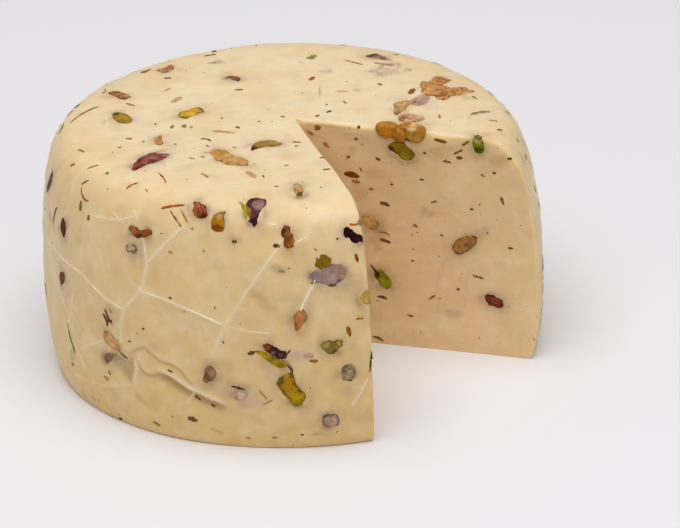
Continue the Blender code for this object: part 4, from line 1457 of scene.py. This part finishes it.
# Each row is a place (azimuth and run on the skin, apex distance and height on a cut face),
# length, width, turn, bend and colour. Lengths are millimetres and angles degrees.
SKIN_BITS = {
    "walnut_crumbs": (
        (139, 102.5, 7.5, 4, 2, 0, "#8a521e"), (158.5, 62.5, 9.5, 4.5, 7, 0, "#c89e72"),
        (24, 72.5, 9, 4.5, 42, 0, "#86501a"), (-102.5, 79, 10.5, 4.0, 50, 15, "#c8966a"),
        (-98, 80, 3.5, 1.3, 70, 0, "#5a2c16"), (-117, 87, 7.5, 1.8, 30, 20, "#b8824a"),
        (-141, 51, 8, 2, -20, 60, "#9a5c2e"), (-144, 39, 13, 3, -37, 0, "#c8985e"),
        (-85, 149.5, 2.7, 2, 0, 0, "#9a641e"), (-86.8, 187.2, 5, 3.8, 0, 0, "#c69c7c"),
        (-85.8, 190.2, 4.6, 2.2, 6, 0, "#a05c24"), (-113.5, 226, 5.8, 3.4, 4, 10, "#7a4222"),
        (-112, 214, 4, 1.3, 30, 0, "#6c441e"), (-108.5, 217, 3, 1.2, 40, 0, "#5c3416"),
        (-145.2, 131.5, 5.4, 3.6, 80, 0, "#8a6238"), (-133, 182, 2, 1.4, 0, 0, "#6a4422"),
        (150, 74, 7.5, 1.8, 0, 0, "#c0905e"), (169, 83, 7, 2, -65, 0, "#a86c3a"),
        (-101, 234, 3, 1.1, 0, 0, "#8a643c"), (-95, 233, 3, 1, 6, 0, "#8a643c"),
        (64, 82, 14, 2.4, 10, 0, "#b88c62"), (53, 87, 13, 3, -10, 10, "#b0825a"),
        (-4, 78, 6, 1.8, 0, 0, "#b48452"), (-134, 56, 2.4, 1.6, 0, 0, "#7c421e"),
        (75, 51.5, 7, 3, -82, 0, "#a05838"), (-82, 36, 4, 1, 15, 0, "#8c5826"),
    ),
    "nut_skin_threads": (
        (-91.2, 185.4, 5, 1.2, -50, 0, "#5c4034"), (-91.4, 190.2, 8, 1.9, 54, 0, "#b09880"),
        (-90.9, 193.0, 6.5, 1.8, 62, 0, "#5c5030"), (-99, 185.7, 4, 2.4, -20, 0, "#5c4428"),
        # The lines at (-97, 208), (-96, 212.5) and (-102.2, 205) are painted shadow lines along a pale flap
        # of nut, not threads.
        (-97, 208, 7, 0.8, 55, 0, "#947860"), (-96, 212.5, 6, 0.7, -30, 0, "#947860"),
        (-102.2, 205, 8, 1.4, 12, 20, "#3c2c20"), (-1, 99, 13, 3.2, 65, 35, "#968070"),
        (-126.5, 143, 3, 1.8, 10, 0, "#8c7058"), (-134.2, 180.5, 8, 1.6, 66, 30, "#5c3c2c"),
        (-118, 117, 13, 2, -19, 8, "#a85408"), (-116.5, 122.5, 11.5, 1.3, 42, 0, "#a0602a"),
        (-114.5, 120.5, 9, 1.1, 50, 0, "#b0743e"), (-127, 99, 16, 1.2, 35, 14, "#a85412"),
        (-132, 111, 8, 1.4, -62, 25, "#a85c1a"), (-145, 126, 12, 1.2, 30, -45, "#9a4808"),
        (-148, 111, 7, 1.2, -60, 10, "#8c602e"), (-146.5, 120, 6, 1, -50, 20, "#6c4822"),
        (-121, 50, 3, 1, 10, 0, "#8a521e"), (-75, 123, 3.8, 1.8, 10, 0, "#b8600e"),
        (-75.2, 139.2, 4.8, 1.8, 80, 0, "#8e340e"), (-75.5, 170, 4, 1.6, 0, 10, "#b86416"),
        (-78, 176, 6, 2.8, 78, 0, "#9a5408"), (-160, 83, 3.6, 3, -70, 0, "#a86838"),
        (-154, 91, 2.4, 1.8, 75, 0, "#b0641e"), (-141.5, 135, 3.2, 2.6, 85, 0, "#8a5e20"),
        (-82, 36.5, 5, 1, 5, 0, "#7c441e"), (-144, 39, 11, 1, -37, 12, "#9c5c2a"),
        (177, 105, 25, 1.8, 35, -10, "#8c6436"), (-179, 117, 13, 1.4, 10, 12, "#54381a"),
        (-163, 131, 8, 1.2, 80, 0, "#5a280e"), (-127, 111.5, 3, 0.8, 30, 0, "#a8743a"),
        (75, 51, 3.2, 2, 0, 0, "#a05236"), (-130, 72, 4.5, 1, 0, 0, "#6c681e"),
        (-94, 40, 2, 1.4, 0, 0, "#8a3c22"), (118, 87, 6, 1, 30, 10, "#8c542a"),
        (-84, 133.5, 2.4, 0.8, 40, 0, "#b0783e"), (-109, 136, 2, 0.7, 40, 0, "#8c602e"),
    ),
    "pistachio_crumbs": (
        (80.5, 83.5, 8, 6, -73, 0, "#8c822a"), (-100.4, 113.8, 12, 3.0, 62, 32, "#a08c1e"),
        (-99.2, 114.8, 8, 3, 64, 20, "#86681c"),
        (-82.6, 139.8, 9, 8, -20, 0, "#80620c"), (-142, 110, 2.6, 2.4, 0, 0, "#7a820e"),
        (-102, 130, 2.6, 2.2, 0, 0, "#5a501c"), (-91.6, 143.4, 3, 1.6, 12, 0, "#8c8254"),
        (140, 84.5, 4.4, 2.6, 55, 0, "#3c340a"), (126, 43.5, 5, 2.2, 30, 0, "#7c6422"),
        (-12, 109, 3.4, 2, 60, 0, "#4c400e"), (-136.4, 216, 4.5, 2.6, 10, 0, "#b0942e"),
        (-135, 212, 2.6, 1.4, 70, 0, "#5c4c1e"), (-150, 220, 3.2, 2.2, 0, 0, "#8c7422"),
        (-118, 201, 3.2, 1.4, 20, 0, "#4c4416"), (-149.5, 205, 17, 1.5, 72, 10, "#584c2a"),
        (-158, 109, 6, 1.6, -20, 20, "#7c6c3e"), (-133, 177, 2.6, 1.4, 40, 0, "#8c7836"),
        (-117, 139, 2.6, 1.6, 10, 0, "#94804a"), (46, 42.5, 8, 3, -45, 0, "#d0ac6a"),
        (-80, 95, 3, 0.7, 85, 0, "#8c7c3e"),
        (-123, 233, 5, 2, 20, 0, "#8c7a4e"), (-90, 66, 2.4, 1.4, 0, 0, "#8c7c2e"),
    ),
    "dark_specks": (
        (-92.5, 131.2, 3.6, 2.6, 0, 0, "#58361a"), (-81, 151.3, 4.5, 2, 0, 0, "#684e3e"),
        (39, 64, 4, 2.2, 0, 0, "#624e26"), (-75, 75, 4, 1.8, 5, 0, "#5a4e42"),
        (-73, 59, 2.6, 2.2, 40, 0, "#7a5c3a"), (-155, 78, 2.2, 2, 0, 0, "#9a7a52"),
        (-146, 66, 2.2, 1.8, 0, 0, "#9a7a52"), (-167, 59, 4.2, 2.8, 20, 0, "#9a7c56"),
        (-166, 53, 4.2, 3, 0, 0, "#94764e"), (-163, 50, 3, 2, 30, 0, "#a88c66"),
        (-172, 67, 2.4, 1.2, 0, 0, "#8a622e"), (-173, 33, 2.4, 1.8, 0, 0, "#8a6a42"),
        (-127, 68, 2.2, 2, 0, 0, "#8a6c46"), (-155, 117, 3.4, 2, -50, 0, "#8a4a22"),
        (-117, 162, 1.5, 1.3, 0, 0, "#4a2e14"), (-124, 181, 1.6, 1.3, 0, 0, "#4a2e14"),
        (-128, 190, 1.8, 1.2, 0, 0, "#7a4e1e"), (-134, 238, 3, 1.4, 0, 0, "#4a321a"),
        (-134.8, 183, 8, 2.4, 58, 50, "#5e3e26"), (-133.4, 182.5, 4, 1.8, 50, 0, "#6a4a2e"),
        (-130.2, 199, 6, 1.5, 38, 0, "#7a5a3e"),
        (-126.2, 141.2, 7, 1.7, 60, 120, "#7e5c40"), (-127.9, 142.2, 6.5, 1.3, 60, -120, "#8c7058"),
        (-168, 196, 6, 1.4, 80, 0, "#7a664e"),
        (-73.6, 194, 11.5, 1.4, -82, 0, "#5a3614"), (-90, 142, 1, 0.8, 0, 0, "#6a4a26"),
        (-112, 126, 1.2, 0.9, 0, 0, "#6a4a1e"), (-105, 181, 1.8, 1, 60, 0, "#8a6a42"),
        (-89, 231, 1.6, 1.2, 0, 0, "#4a361e"), (-79, 129, 1.2, 1.6, 0, 0, "#6a4a1a"),
        (29, 24, 2, 1.6, 0, 0, "#7a522a"), (5, 22, 4, 2.4, 55, 0, "#5a3a1e"),
        (-10, 16, 3.2, 2, 35, 0, "#6a3a1a"), (26, 34, 4.2, 1.6, 0, 0, "#8a6a3e"),
        (-118, 4, 3, 1.8, 0, 0, "#8a522a"), (-144, 30, 3.4, 2.4, 0, 0, "#7a5c3a"),
        (-144, 17, 2, 1.2, 0, 0, "#7a522a"), (-93, 92, 2.2, 1.6, 0, 0, "#8a6a46"),
        (-83, 41.5, 2.4, 1.8, 0, 0, "#7a5c3a"), (-156.5, 145, 12, 3, -68, 25, "#7a6a4a"),
        (56, 94, 13, 1.5, 0, 25, "#725236"), (-143, 233, 4, 1.2, 30, 0, "#aa926e"),
    ),
}
BACK_CUT_BITS = {
    "walnut_crumbs": (
        (11.5, 120, 3.5, 4, 60, 0, "#a8601e"), (7.5, 117, 5, 1.8, 35, 0, "#b07436"),
        (29, 95.5, 9, 4, 5, 15, "#7c400a"), (31, 92, 5, 2.4, 10, 0, "#b06c2e"),
        (76.5, 118.3, 7.5, 2.2, 10, 0, "#8a521a"), (86, 109.5, 3.6, 2.4, 0, 0, "#7c4816"),
        (79.5, 107, 5, 1.6, 10, 0, "#8c5c22"), (39, 88.5, 3, 2, 0, 0, "#a07822"),
        (16, 111, 5, 3, 40, 0, "#b4844e"), (112, 111.5, 2.4, 2, 0, 0, "#5c3c16"),
        (85.4, 112.8, 6, 1.6, -30, 0, "#7c601e"), (98, 101, 3, 1.4, 30, 0, "#8c5c26"),
        (89.5, 118, 5.5, 1.8, -38, 0, "#846c2a"),
        (66, 96, 2.6, 1.4, 0, 0, "#7c4c1e"), (72, 84, 4, 1.4, -20, 0, "#94602a"),
        (108, 88, 5, 2, 70, 0, "#8c541e"), (62, 70, 3, 1.6, 40, 0, "#94642e"),
        (95, 44, 6, 1.6, 10, 15, "#8c5422"), (70, 30, 5, 2, -40, 0, "#9c682e"),
        (112, 62, 3, 1.6, 0, 0, "#7c4816"), (58, 18, 4, 1.4, 20, 0, "#8c5c26"),
    ),
    "dark_specks": (
        (33.5, 122, 1.8, 1.8, 0, 0, "#6a421a"), (32, 115.5, 2, 1.8, 0, 0, "#7a4e1e"),
        (27.5, 105.5, 2.2, 1.8, 0, 0, "#7a522a"), (43, 105.3, 3, 1.8, 30, 0, "#6a4e22"),
        (46, 80.6, 6, 2.4, 10, 30, "#724e26"), (45.5, 59.7, 6.5, 2.4, 12, 15, "#724e26"),
        (45, 64, 8, 1.2, 5, 40, "#92724e"), (43, 27, 6, 2.2, 10, 25, "#6a4a1e"),
        (40, 2.8, 7, 2, 20, 20, "#725226"), (39.5, 42.5, 8, 1.5, 50, 0, "#5a3a16"),
        (34, 99, 3, 1.2, 60, 0, "#8a5e32"), (68, 111, 1.6, 1.4, 0, 0, "#6a4a22"),
        (104, 103, 2, 1.6, 0, 0, "#6a4a22"), (92, 82, 2, 1.4, 0, 0, "#6a4a22"),
        (76, 66, 1.8, 1.4, 0, 0, "#6a4a22"), (84, 36, 2, 1.6, 0, 0, "#6a4a22"),
        (50, 92, 1.6, 1.4, 0, 0, "#6a4a22"), (60, 50, 2, 1.4, 0, 0, "#725226"),
    ),
}
# The slot, and the material of the same name, that each kind of bit belongs to.
BIT_SLOTS = {
    "walnut_crumbs": "walnut",
    "nut_skin_threads": "pistachio_skin",
    "pistachio_crumbs": "pistachio",
    "dark_specks": "pistachio_skin",
}
# Rings of points along a bit, and how far its middle stands proud, in millimetres.
BIT_STATIONS = 11
BIT_PROUD = 0.22
# A bit's section: share of its half width aside, then millimetres under the surface where
# that is negative. A positive value only marks the two points that stand proud.
BIT_SECTION = ((-1.0, -0.15), (-0.6, 1.0), (0.6, 1.0), (1.0, -0.15), (0.5, -0.9), (-0.5, -0.9))


def bit_form(seat, length, width, turn, bend, seed):
    """A crumb, flake or thread as a flattened tapering strand that follows the cheese."""
    rng = np.random.default_rng(seed)
    share = np.linspace(-1, 1, BIT_STATIONS)
    wide = 0.5 * width * np.sqrt(np.clip(1 - share ** 2, 0, 1)) ** 0.8
    wide = wide * rng.uniform(0.50, 1.25, BIT_STATIONS)
    heading = math.radians(bend) * share
    spine = np.cumsum(np.stack([np.cos(heading), np.sin(heading)], 1), axis=0)
    spine = (spine - spine.mean(0)) * length / (BIT_STATIONS - 1)
    aside = np.stack([-np.sin(heading), np.cos(heading)], 1)
    turned = math.radians(turn)
    spin = np.array([[math.cos(turned), math.sin(turned)], [-math.sin(turned), math.cos(turned)]])
    rise = BIT_PROUD * smooth(1 - np.abs(share), 0.0, 0.35)
    flat = []
    lift = []
    for side, up in BIT_SECTION:
        flat.append(spine + aside * (wide * side)[:, None])
        lift.append(rise if up > 0 else np.full(BIT_STATIONS, up))
    flat = np.stack(flat, 1).reshape(-1, 2) @ spin
    laid = seat.lay(flat, np.stack(lift, 1).ravel())
    if seat.face == "skin":
        laid = inside_cuts(laid)
    sides = len(BIT_SECTION)
    faces = []
    for ring in range(0, (BIT_STATIONS - 1) * sides, sides):
        for side in range(sides):
            a, b = ring + side, ring + (side + 1) % sides
            faces.append([a, b, b + sides, a + sides])
    last = (BIT_STATIONS - 1) * sides
    faces += [list(range(sides - 1, -1, -1)), list(range(last, last + sides))]
    return laid, faces


def far_bits(kind, rng):
    """Rows of one kind of bit for the side and top that the creased side doesn't show."""
    sizes = {"walnut_crumbs": (3, 9, 0.35), "nut_skin_threads": (4, 14, 0.13),
             "pistachio_crumbs": (2, 8, 0.55), "dark_specks": (1.2, 5, 0.6)}[kind]
    made = []
    for _ in range({"dark_specks": 60}.get(kind, 26)):
        azimuth = rng.uniform(-14, 178)
        run = rng.uniform(100, 236)
        length = rng.uniform(sizes[0], sizes[1])
        row = SKIN_BITS[kind][rng.integers(len(SKIN_BITS[kind]))]
        made.append((azimuth, run, length, length * sizes[2] * rng.uniform(0.6, 1.3),
                     rng.uniform(-90, 90), rng.uniform(-40, 40), row[6]))
    return made


def cut_bits(kind, rng):
    """Rows of one kind of bit for the front cut, in slanting bands."""
    made = []
    for _ in range({"dark_specks": 40, "nut_skin_threads": 30}.get(kind, 16)):
        along = rng.uniform(8, 118)
        row = SKIN_BITS[kind][rng.integers(len(SKIN_BITS[kind]))]
        length = rng.uniform(1.5, 7)
        made.append((along, rng.uniform(6, 116), length, length * rng.uniform(0.25, 0.6),
                     rng.uniform(30, 80), rng.uniform(-20, 20), row[6]))
    return made


def build_bits(kind, cheese, seed):
    """Every bit of one kind, as one piece."""
    rng = np.random.default_rng(seed)
    points = []
    faces = []
    tints = []
    rows = [("skin", *row) for row in SKIN_BITS[kind]]
    rows += [("back_cut", *row) for row in BACK_CUT_BITS.get(kind, ())]
    rows += [("skin", *row) for row in far_bits(kind, rng)]
    rows += [("front_cut", *row) for row in cut_bits(kind, rng)]
    for index, (face, first, second, length, width, turn, bend, tone) in enumerate(rows):
        seat = Seat(cheese, face, first, second)
        laid, bit_faces = bit_form(seat, length, width, turn, bend, seed + index)
        start = sum(len(part) for part in points)
        points.append(laid)
        faces += [[start + corner for corner in corners] for corners in bit_faces]
        colour = np.tile(srgb(tone), (len(laid), 1))
        colour = colour * (1 + 0.18 * waves(laid, 2.2, seed + 7))[:, None]
        tints.append(np.clip(colour, 0.002, 0.95))
    made = add_mesh(kind, np.concatenate(points), faces, colours=np.concatenate(tints),
                    slot=MATERIALS[BIT_SLOTS[kind]])
    face_out(made)
    declare(made)


class CHEESE_OT_bits(bpy.types.Operator):
    """Make the crumbs, flakes and threads too small for the frame"""

    bl_idname = "cheese.make_bits"
    bl_label = "Crumbs and threads"

    def execute(self, context):
        cheese = cheese_surface()
        for index, kind in enumerate(SKIN_BITS):
            build_bits(kind, cheese, context.scene.cheese_settings.seed + 1000 * (index + 1))
        return {"FINISHED"}


# ---------------------------------------------------------------- film creases and specks


def run_tree(made, tree, values):
    """Runs a node tree on an object, with inputs set by their sockets' identifiers."""
    modifier = made.modifiers.new("nodes", "NODES")
    modifier.node_group = tree
    for item in tree.interface.items_tree:
        if item.item_type == "SOCKET" and item.in_out == "INPUT" and item.name in values:
            modifier[item.identifier] = values[item.name]
    settle_modifiers(made)
    made.data.shade_smooth()


def open_tree(name, **inputs):
    """A Geometry Nodes tree with its named inputs, and the sockets that they arrive at."""
    tree = bpy.data.node_groups.new(name, "GeometryNodeTree")
    for socket, kind in {"Geometry": "Geometry", **inputs, "Material": "Material"}.items():
        tree.interface.new_socket(socket, in_out="INPUT", socket_type="NodeSocket" + kind)
    tree.interface.new_socket("Geometry", in_out="OUTPUT", socket_type="NodeSocketGeometry")
    return tree, add_node(tree, "NodeGroupInput").outputs


def close_tree(tree, geometry, paste):
    """Realizes a tree's instances, sets their material and hands the geometry out."""
    real = add_node(tree, "GeometryNodeRealizeInstances", {"Geometry": geometry})
    finished = add_node(tree, "GeometryNodeSetMaterial", {
        "Geometry": real.outputs["Geometry"], "Material": paste})
    add_node(tree, "NodeGroupOutput", {"Geometry": finished.outputs["Geometry"]})
    return tree


def strand_tree(name):
    """A node tree that turns a line of points into a round strand of varying thickness."""
    tree, source = open_tree(name, Radius="Float")
    line = add_node(tree, "GeometryNodeMeshToCurve", {"Mesh": source["Geometry"]})
    thick = add_node(tree, "GeometryNodeInputNamedAttribute", {"Name": "thick"}, data_type="FLOAT")
    sized = add_node(tree, "GeometryNodeSetCurveRadius", {
        "Curve": line.outputs["Curve"], "Radius": thick.outputs["Attribute"]})
    ring = add_node(tree, "GeometryNodeCurvePrimitiveCircle", {
        "Resolution": 6, "Radius": source["Radius"]}, mode="RADIUS")
    tube = add_node(tree, "GeometryNodeCurveToMesh", {
        "Curve": sized.outputs["Curve"], "Profile Curve": ring.outputs["Curve"],
        "Scale": thick.outputs["Attribute"], "Fill Caps": True})
    return close_tree(tree, tube.outputs["Mesh"], source["Material"])


def build_strands(name, lines, radius, paste):
    """Strands along lines of (points, thickness), laid by a node tree and made a mesh."""
    points = []
    edges = []
    thick = []
    shade = []
    for index, (line, width) in enumerate(lines):
        first = len(points)
        points += list(line)
        thick += list(width)
        shade += [(index * 0.37) % 1.0] * len(line)
        edges += [(first + i, first + i + 1) for i in range(len(line) - 1)]
    mesh = bpy.data.meshes.new(name)
    mesh.from_pydata((np.array(points) * MM).tolist(), edges, [])
    set_values(mesh, {"thick": thick, "shade": shade})
    made = add_object(name, mesh)
    run_tree(made, strand_tree(name + "_nodes"), {"Radius": radius * MM, "Material": paste})
    face_out(made)
    return made


def lay_on(cheese, azimuth, run, lift):
    """Points on the finished skin at given places, lifted off it."""
    places, _, _, out = skin_frame(np.radians(azimuth), run)
    return cast(cheese, places, out, 6, 14) + out * lift


# A film crease's strand: its radius and how far it lies off the cheese, in millimetres.
CREASE_RADIUS = 0.36
CREASE_LIFT = -0.10


class CHEESE_OT_creases(bpy.types.Operator):
    """Make the crisp ridges of the film's creases, in a pale paste that is a painted highlight"""

    bl_idname = "cheese.make_creases"
    bl_label = "Film creases"

    def execute(self, context):
        cheese = cheese_surface()
        seed = context.scene.cheese_settings.seed
        lines = []
        for ridge, way in list(CREASES) + far_creases(seed):
            line = route(way, 0.8)
            share = np.linspace(0, 1, len(line))
            ends = smooth(np.minimum(share, 1 - share), -0.10, 0.10)
            points = lay_on(cheese, line[:, 0], line[:, 1], CREASE_LIFT)
            wobble = 1 + 0.35 * waves(points, 9, seed + 20) + 0.2 * waves(points, 3, seed + 21)
            lines.append((points, np.clip(ridge * 2.0 * ends * wobble, 0.05, 2.0)))
        made = build_strands("film_crease_highlights", lines, CREASE_RADIUS, MATERIALS["crease"])
        declare(made)
        return {"FINISHED"}


# Specks: radius in millimetres, the extra share of them on the cuts (2.2 makes 3.2 times as
# many), and the height at the foot, in millimetres, that is kept bare.
SPECK_SIZE = 0.5
CUT_CROWDING = 2.2
FOOT_CLEAR = 1.5


def speck_tree(name):
    """A node tree that scatters small flattened crumbs over a surface, denser on cut faces."""
    tree, source = open_tree(name, Density="Float", Size="Float", Seed="Int")
    weight = add_node(tree, "GeometryNodeInputNamedAttribute", {"Name": "cut"}, data_type="FLOAT")
    more = add_node(tree, "ShaderNodeMath", {
        0: weight.outputs["Attribute"], 1: CUT_CROWDING, 2: 1.0}, operation="MULTIPLY_ADD")
    dense = add_node(tree, "ShaderNodeMath", {0: more.outputs[0], 1: source["Density"]},
                     operation="MULTIPLY")
    spots = add_node(tree, "GeometryNodeDistributePointsOnFaces", {
        "Mesh": source["Geometry"], "Density": dense.outputs[0], "Seed": source["Seed"]})
    spot = add_node(tree, "GeometryNodeInputPosition")
    split = add_node(tree, "ShaderNodeSeparateXYZ", {0: spot.outputs[0]})
    under = add_node(tree, "FunctionNodeCompare", {0: split.outputs["Z"], 1: FOOT_CLEAR * MM},
                     data_type="FLOAT", operation="LESS_THAN")
    kept = add_node(tree, "GeometryNodeDeleteGeometry", {
        "Geometry": spots.outputs["Points"], "Selection": under.outputs[0]})
    crumb = add_node(tree, "GeometryNodeMeshIcoSphere", {"Radius": source["Size"], "Subdivisions": 2})
    spin = add_node(tree, "FunctionNodeRandomValue", {
        "Min": (0.0, 0.0, 0.0), "Max": (0.0, 0.0, math.tau)}, data_type="FLOAT_VECTOR")
    turned = add_node(tree, "FunctionNodeRotateRotation", {
        "Rotation": spots.outputs["Rotation"], "Rotate By": spin.outputs[0]},
        rotation_space="LOCAL")
    stretch = add_node(tree, "FunctionNodeRandomValue", {
        "Min": (0.35, 0.25, 0.22), "Max": (1.7, 0.8, 0.4), "Seed": 3}, data_type="FLOAT_VECTOR")
    placed = add_node(tree, "GeometryNodeInstanceOnPoints", {
        "Points": kept.outputs[0], "Instance": crumb.outputs["Mesh"],
        "Rotation": turned.outputs[0], "Scale": stretch.outputs[0]})
    luck = add_node(tree, "FunctionNodeRandomValue", {"Seed": 5}, data_type="FLOAT")
    named = add_node(tree, "GeometryNodeStoreNamedAttribute", {
        "Geometry": placed.outputs["Instances"], "Name": "shade", "Value": luck.outputs[1]},
        data_type="FLOAT", domain="INSTANCE")
    return close_tree(tree, named.outputs["Geometry"], source["Material"])


class CHEESE_OT_specks(bpy.types.Operator):
    """Scatter herb and nut-skin specks over the cheese"""

    bl_idname = "cheese.make_specks"
    bl_label = "Specks"

    def execute(self, context):
        settings = context.scene.cheese_settings
        body = bpy.data.objects["cheese_body"]
        made = add_object("herb_specks", body.data.copy())
        run_tree(made, speck_tree("speck_nodes"), {
            "Density": settings.specks, "Size": SPECK_SIZE * MM, "Seed": settings.seed,
            "Material": MATERIALS["herb"]})
        declare(made)
        return {"FINISHED"}


# ---------------------------------------------------------------- stage


# Half the floor's width, in millimetres.
FLOOR_HALF = 3000.0


class CHEESE_OT_stage(bpy.types.Operator):
    """Make the floor, the soft light and the camera"""

    bl_idname = "cheese.make_stage"
    bl_label = "Stage"

    def execute(self, context):
        stage = context.scene.cheese_stage
        colours = context.scene.cheese_colours
        corners = [(x * FLOOR_HALF, y * FLOOR_HALF, 0) for x, y in ((-1, -1), (1, -1), (1, 1), (-1, 1))]
        floor = add_mesh("floor", corners, [(0, 1, 2, 3)])
        painted, tree, shader, where = material("matt_studio_paper", {"Roughness": 0.75})
        # Painted light: the flat paper is painted paler towards the back, a painted pool of light.
        depth = add_node(tree, "ShaderNodeSeparateXYZ", {0: where}).outputs["Y"]
        base = blend(tree, ramp(tree, depth, 0.1, 1.0), tuple(colours.floor), srgb("#fcfbf8"))
        tree.links.new(base, shader.inputs["Base Color"])
        floor.data.materials.append(painted)
        world = bpy.data.worlds.new("room")
        world.use_nodes = True
        back = world.node_tree.nodes["Background"]
        back.inputs["Color"].default_value = (*srgb("#f4f2f8"), 1.0)
        back.inputs["Strength"].default_value = stage.sky
        context.scene.world = world
        self.light("overhead", (-0.05, -0.4, 1.9), 1.8, stage.key)
        self.light("right", (1.0, -1.5, 0.9), 1.2, stage.fill)
        self.camera(context, stage)
        context.scene.view_settings.view_transform = "Standard"
        return {"FINISHED"}

    def light(self, name, place, size, strength):
        """A square soft light that faces the cheese."""
        data = bpy.data.lights.new(name, "AREA")
        data.size = size
        data.energy = strength
        aim = Vector((0, 0, 0.06)) - Vector(place)
        turn = aim.to_track_quat("-Z", "Y").to_matrix().to_4x4()
        add_object(name, data).matrix_world = Matrix.Translation(place) @ turn

    def camera(self, context, stage):
        """The camera, level but for its pitch and a slight roll."""
        data = bpy.data.cameras.new("camera")
        data.lens = stage.lens
        data.sensor_width = 36.0
        made = add_object("camera", data)
        ahead = Vector((0, math.cos(stage.pitch), -math.sin(stage.pitch)))
        down = Vector((0, -math.sin(stage.pitch), -math.cos(stage.pitch)))
        right = Vector((math.cos(stage.roll), 0, 0)) - down * math.sin(stage.roll)
        up = -(Vector((math.sin(stage.roll), 0, 0)) + down * math.cos(stage.roll))
        turn = Matrix((right, up, -ahead)).transposed().to_4x4()
        made.matrix_world = Matrix.Translation(stage.place) @ turn
        context.scene.camera = made


class CHEESE_PT_panel(bpy.types.Panel):
    """Lists the cheese's operators"""

    bl_label = "Cheese"
    bl_idname = "CHEESE_PT_panel"
    bl_space_type = "VIEW_3D"
    bl_region_type = "UI"
    bl_category = "Cheese"

    def draw(self, context):
        for operator in OPERATORS:
            self.layout.operator(operator.bl_idname)


OPERATORS = (
    CHEESE_OT_cheese,
    CHEESE_OT_nuts,
    CHEESE_OT_bits,
    CHEESE_OT_creases,
    CHEESE_OT_specks,
    CHEESE_OT_stage,
)
GROUPS = {
    "cheese_settings": CheeseSettings,
    "cheese_colours": ColourSettings,
    "cheese_stage": StageSettings,
}


def register():
    """Registers the settings, the operators and the panel."""
    for name, group in GROUPS.items():
        bpy.utils.register_class(group)
        setattr(bpy.types.Scene, name, bpy.props.PointerProperty(type=group))
    for operator in OPERATORS:
        bpy.utils.register_class(operator)
    bpy.utils.register_class(CHEESE_PT_panel)


def unregister():
    """Undoes register."""
    bpy.utils.unregister_class(CHEESE_PT_panel)
    for operator in reversed(OPERATORS):
        bpy.utils.unregister_class(operator)
    for name, group in GROUPS.items():
        delattr(bpy.types.Scene, name)
        bpy.utils.unregister_class(group)


def main():
    """Makes every piece in order."""
    register()
    for operator in OPERATORS:
        section, name = operator.bl_idname.split(".")
        getattr(getattr(bpy.ops, section), name)()


if __name__ == "__main__":
    main()
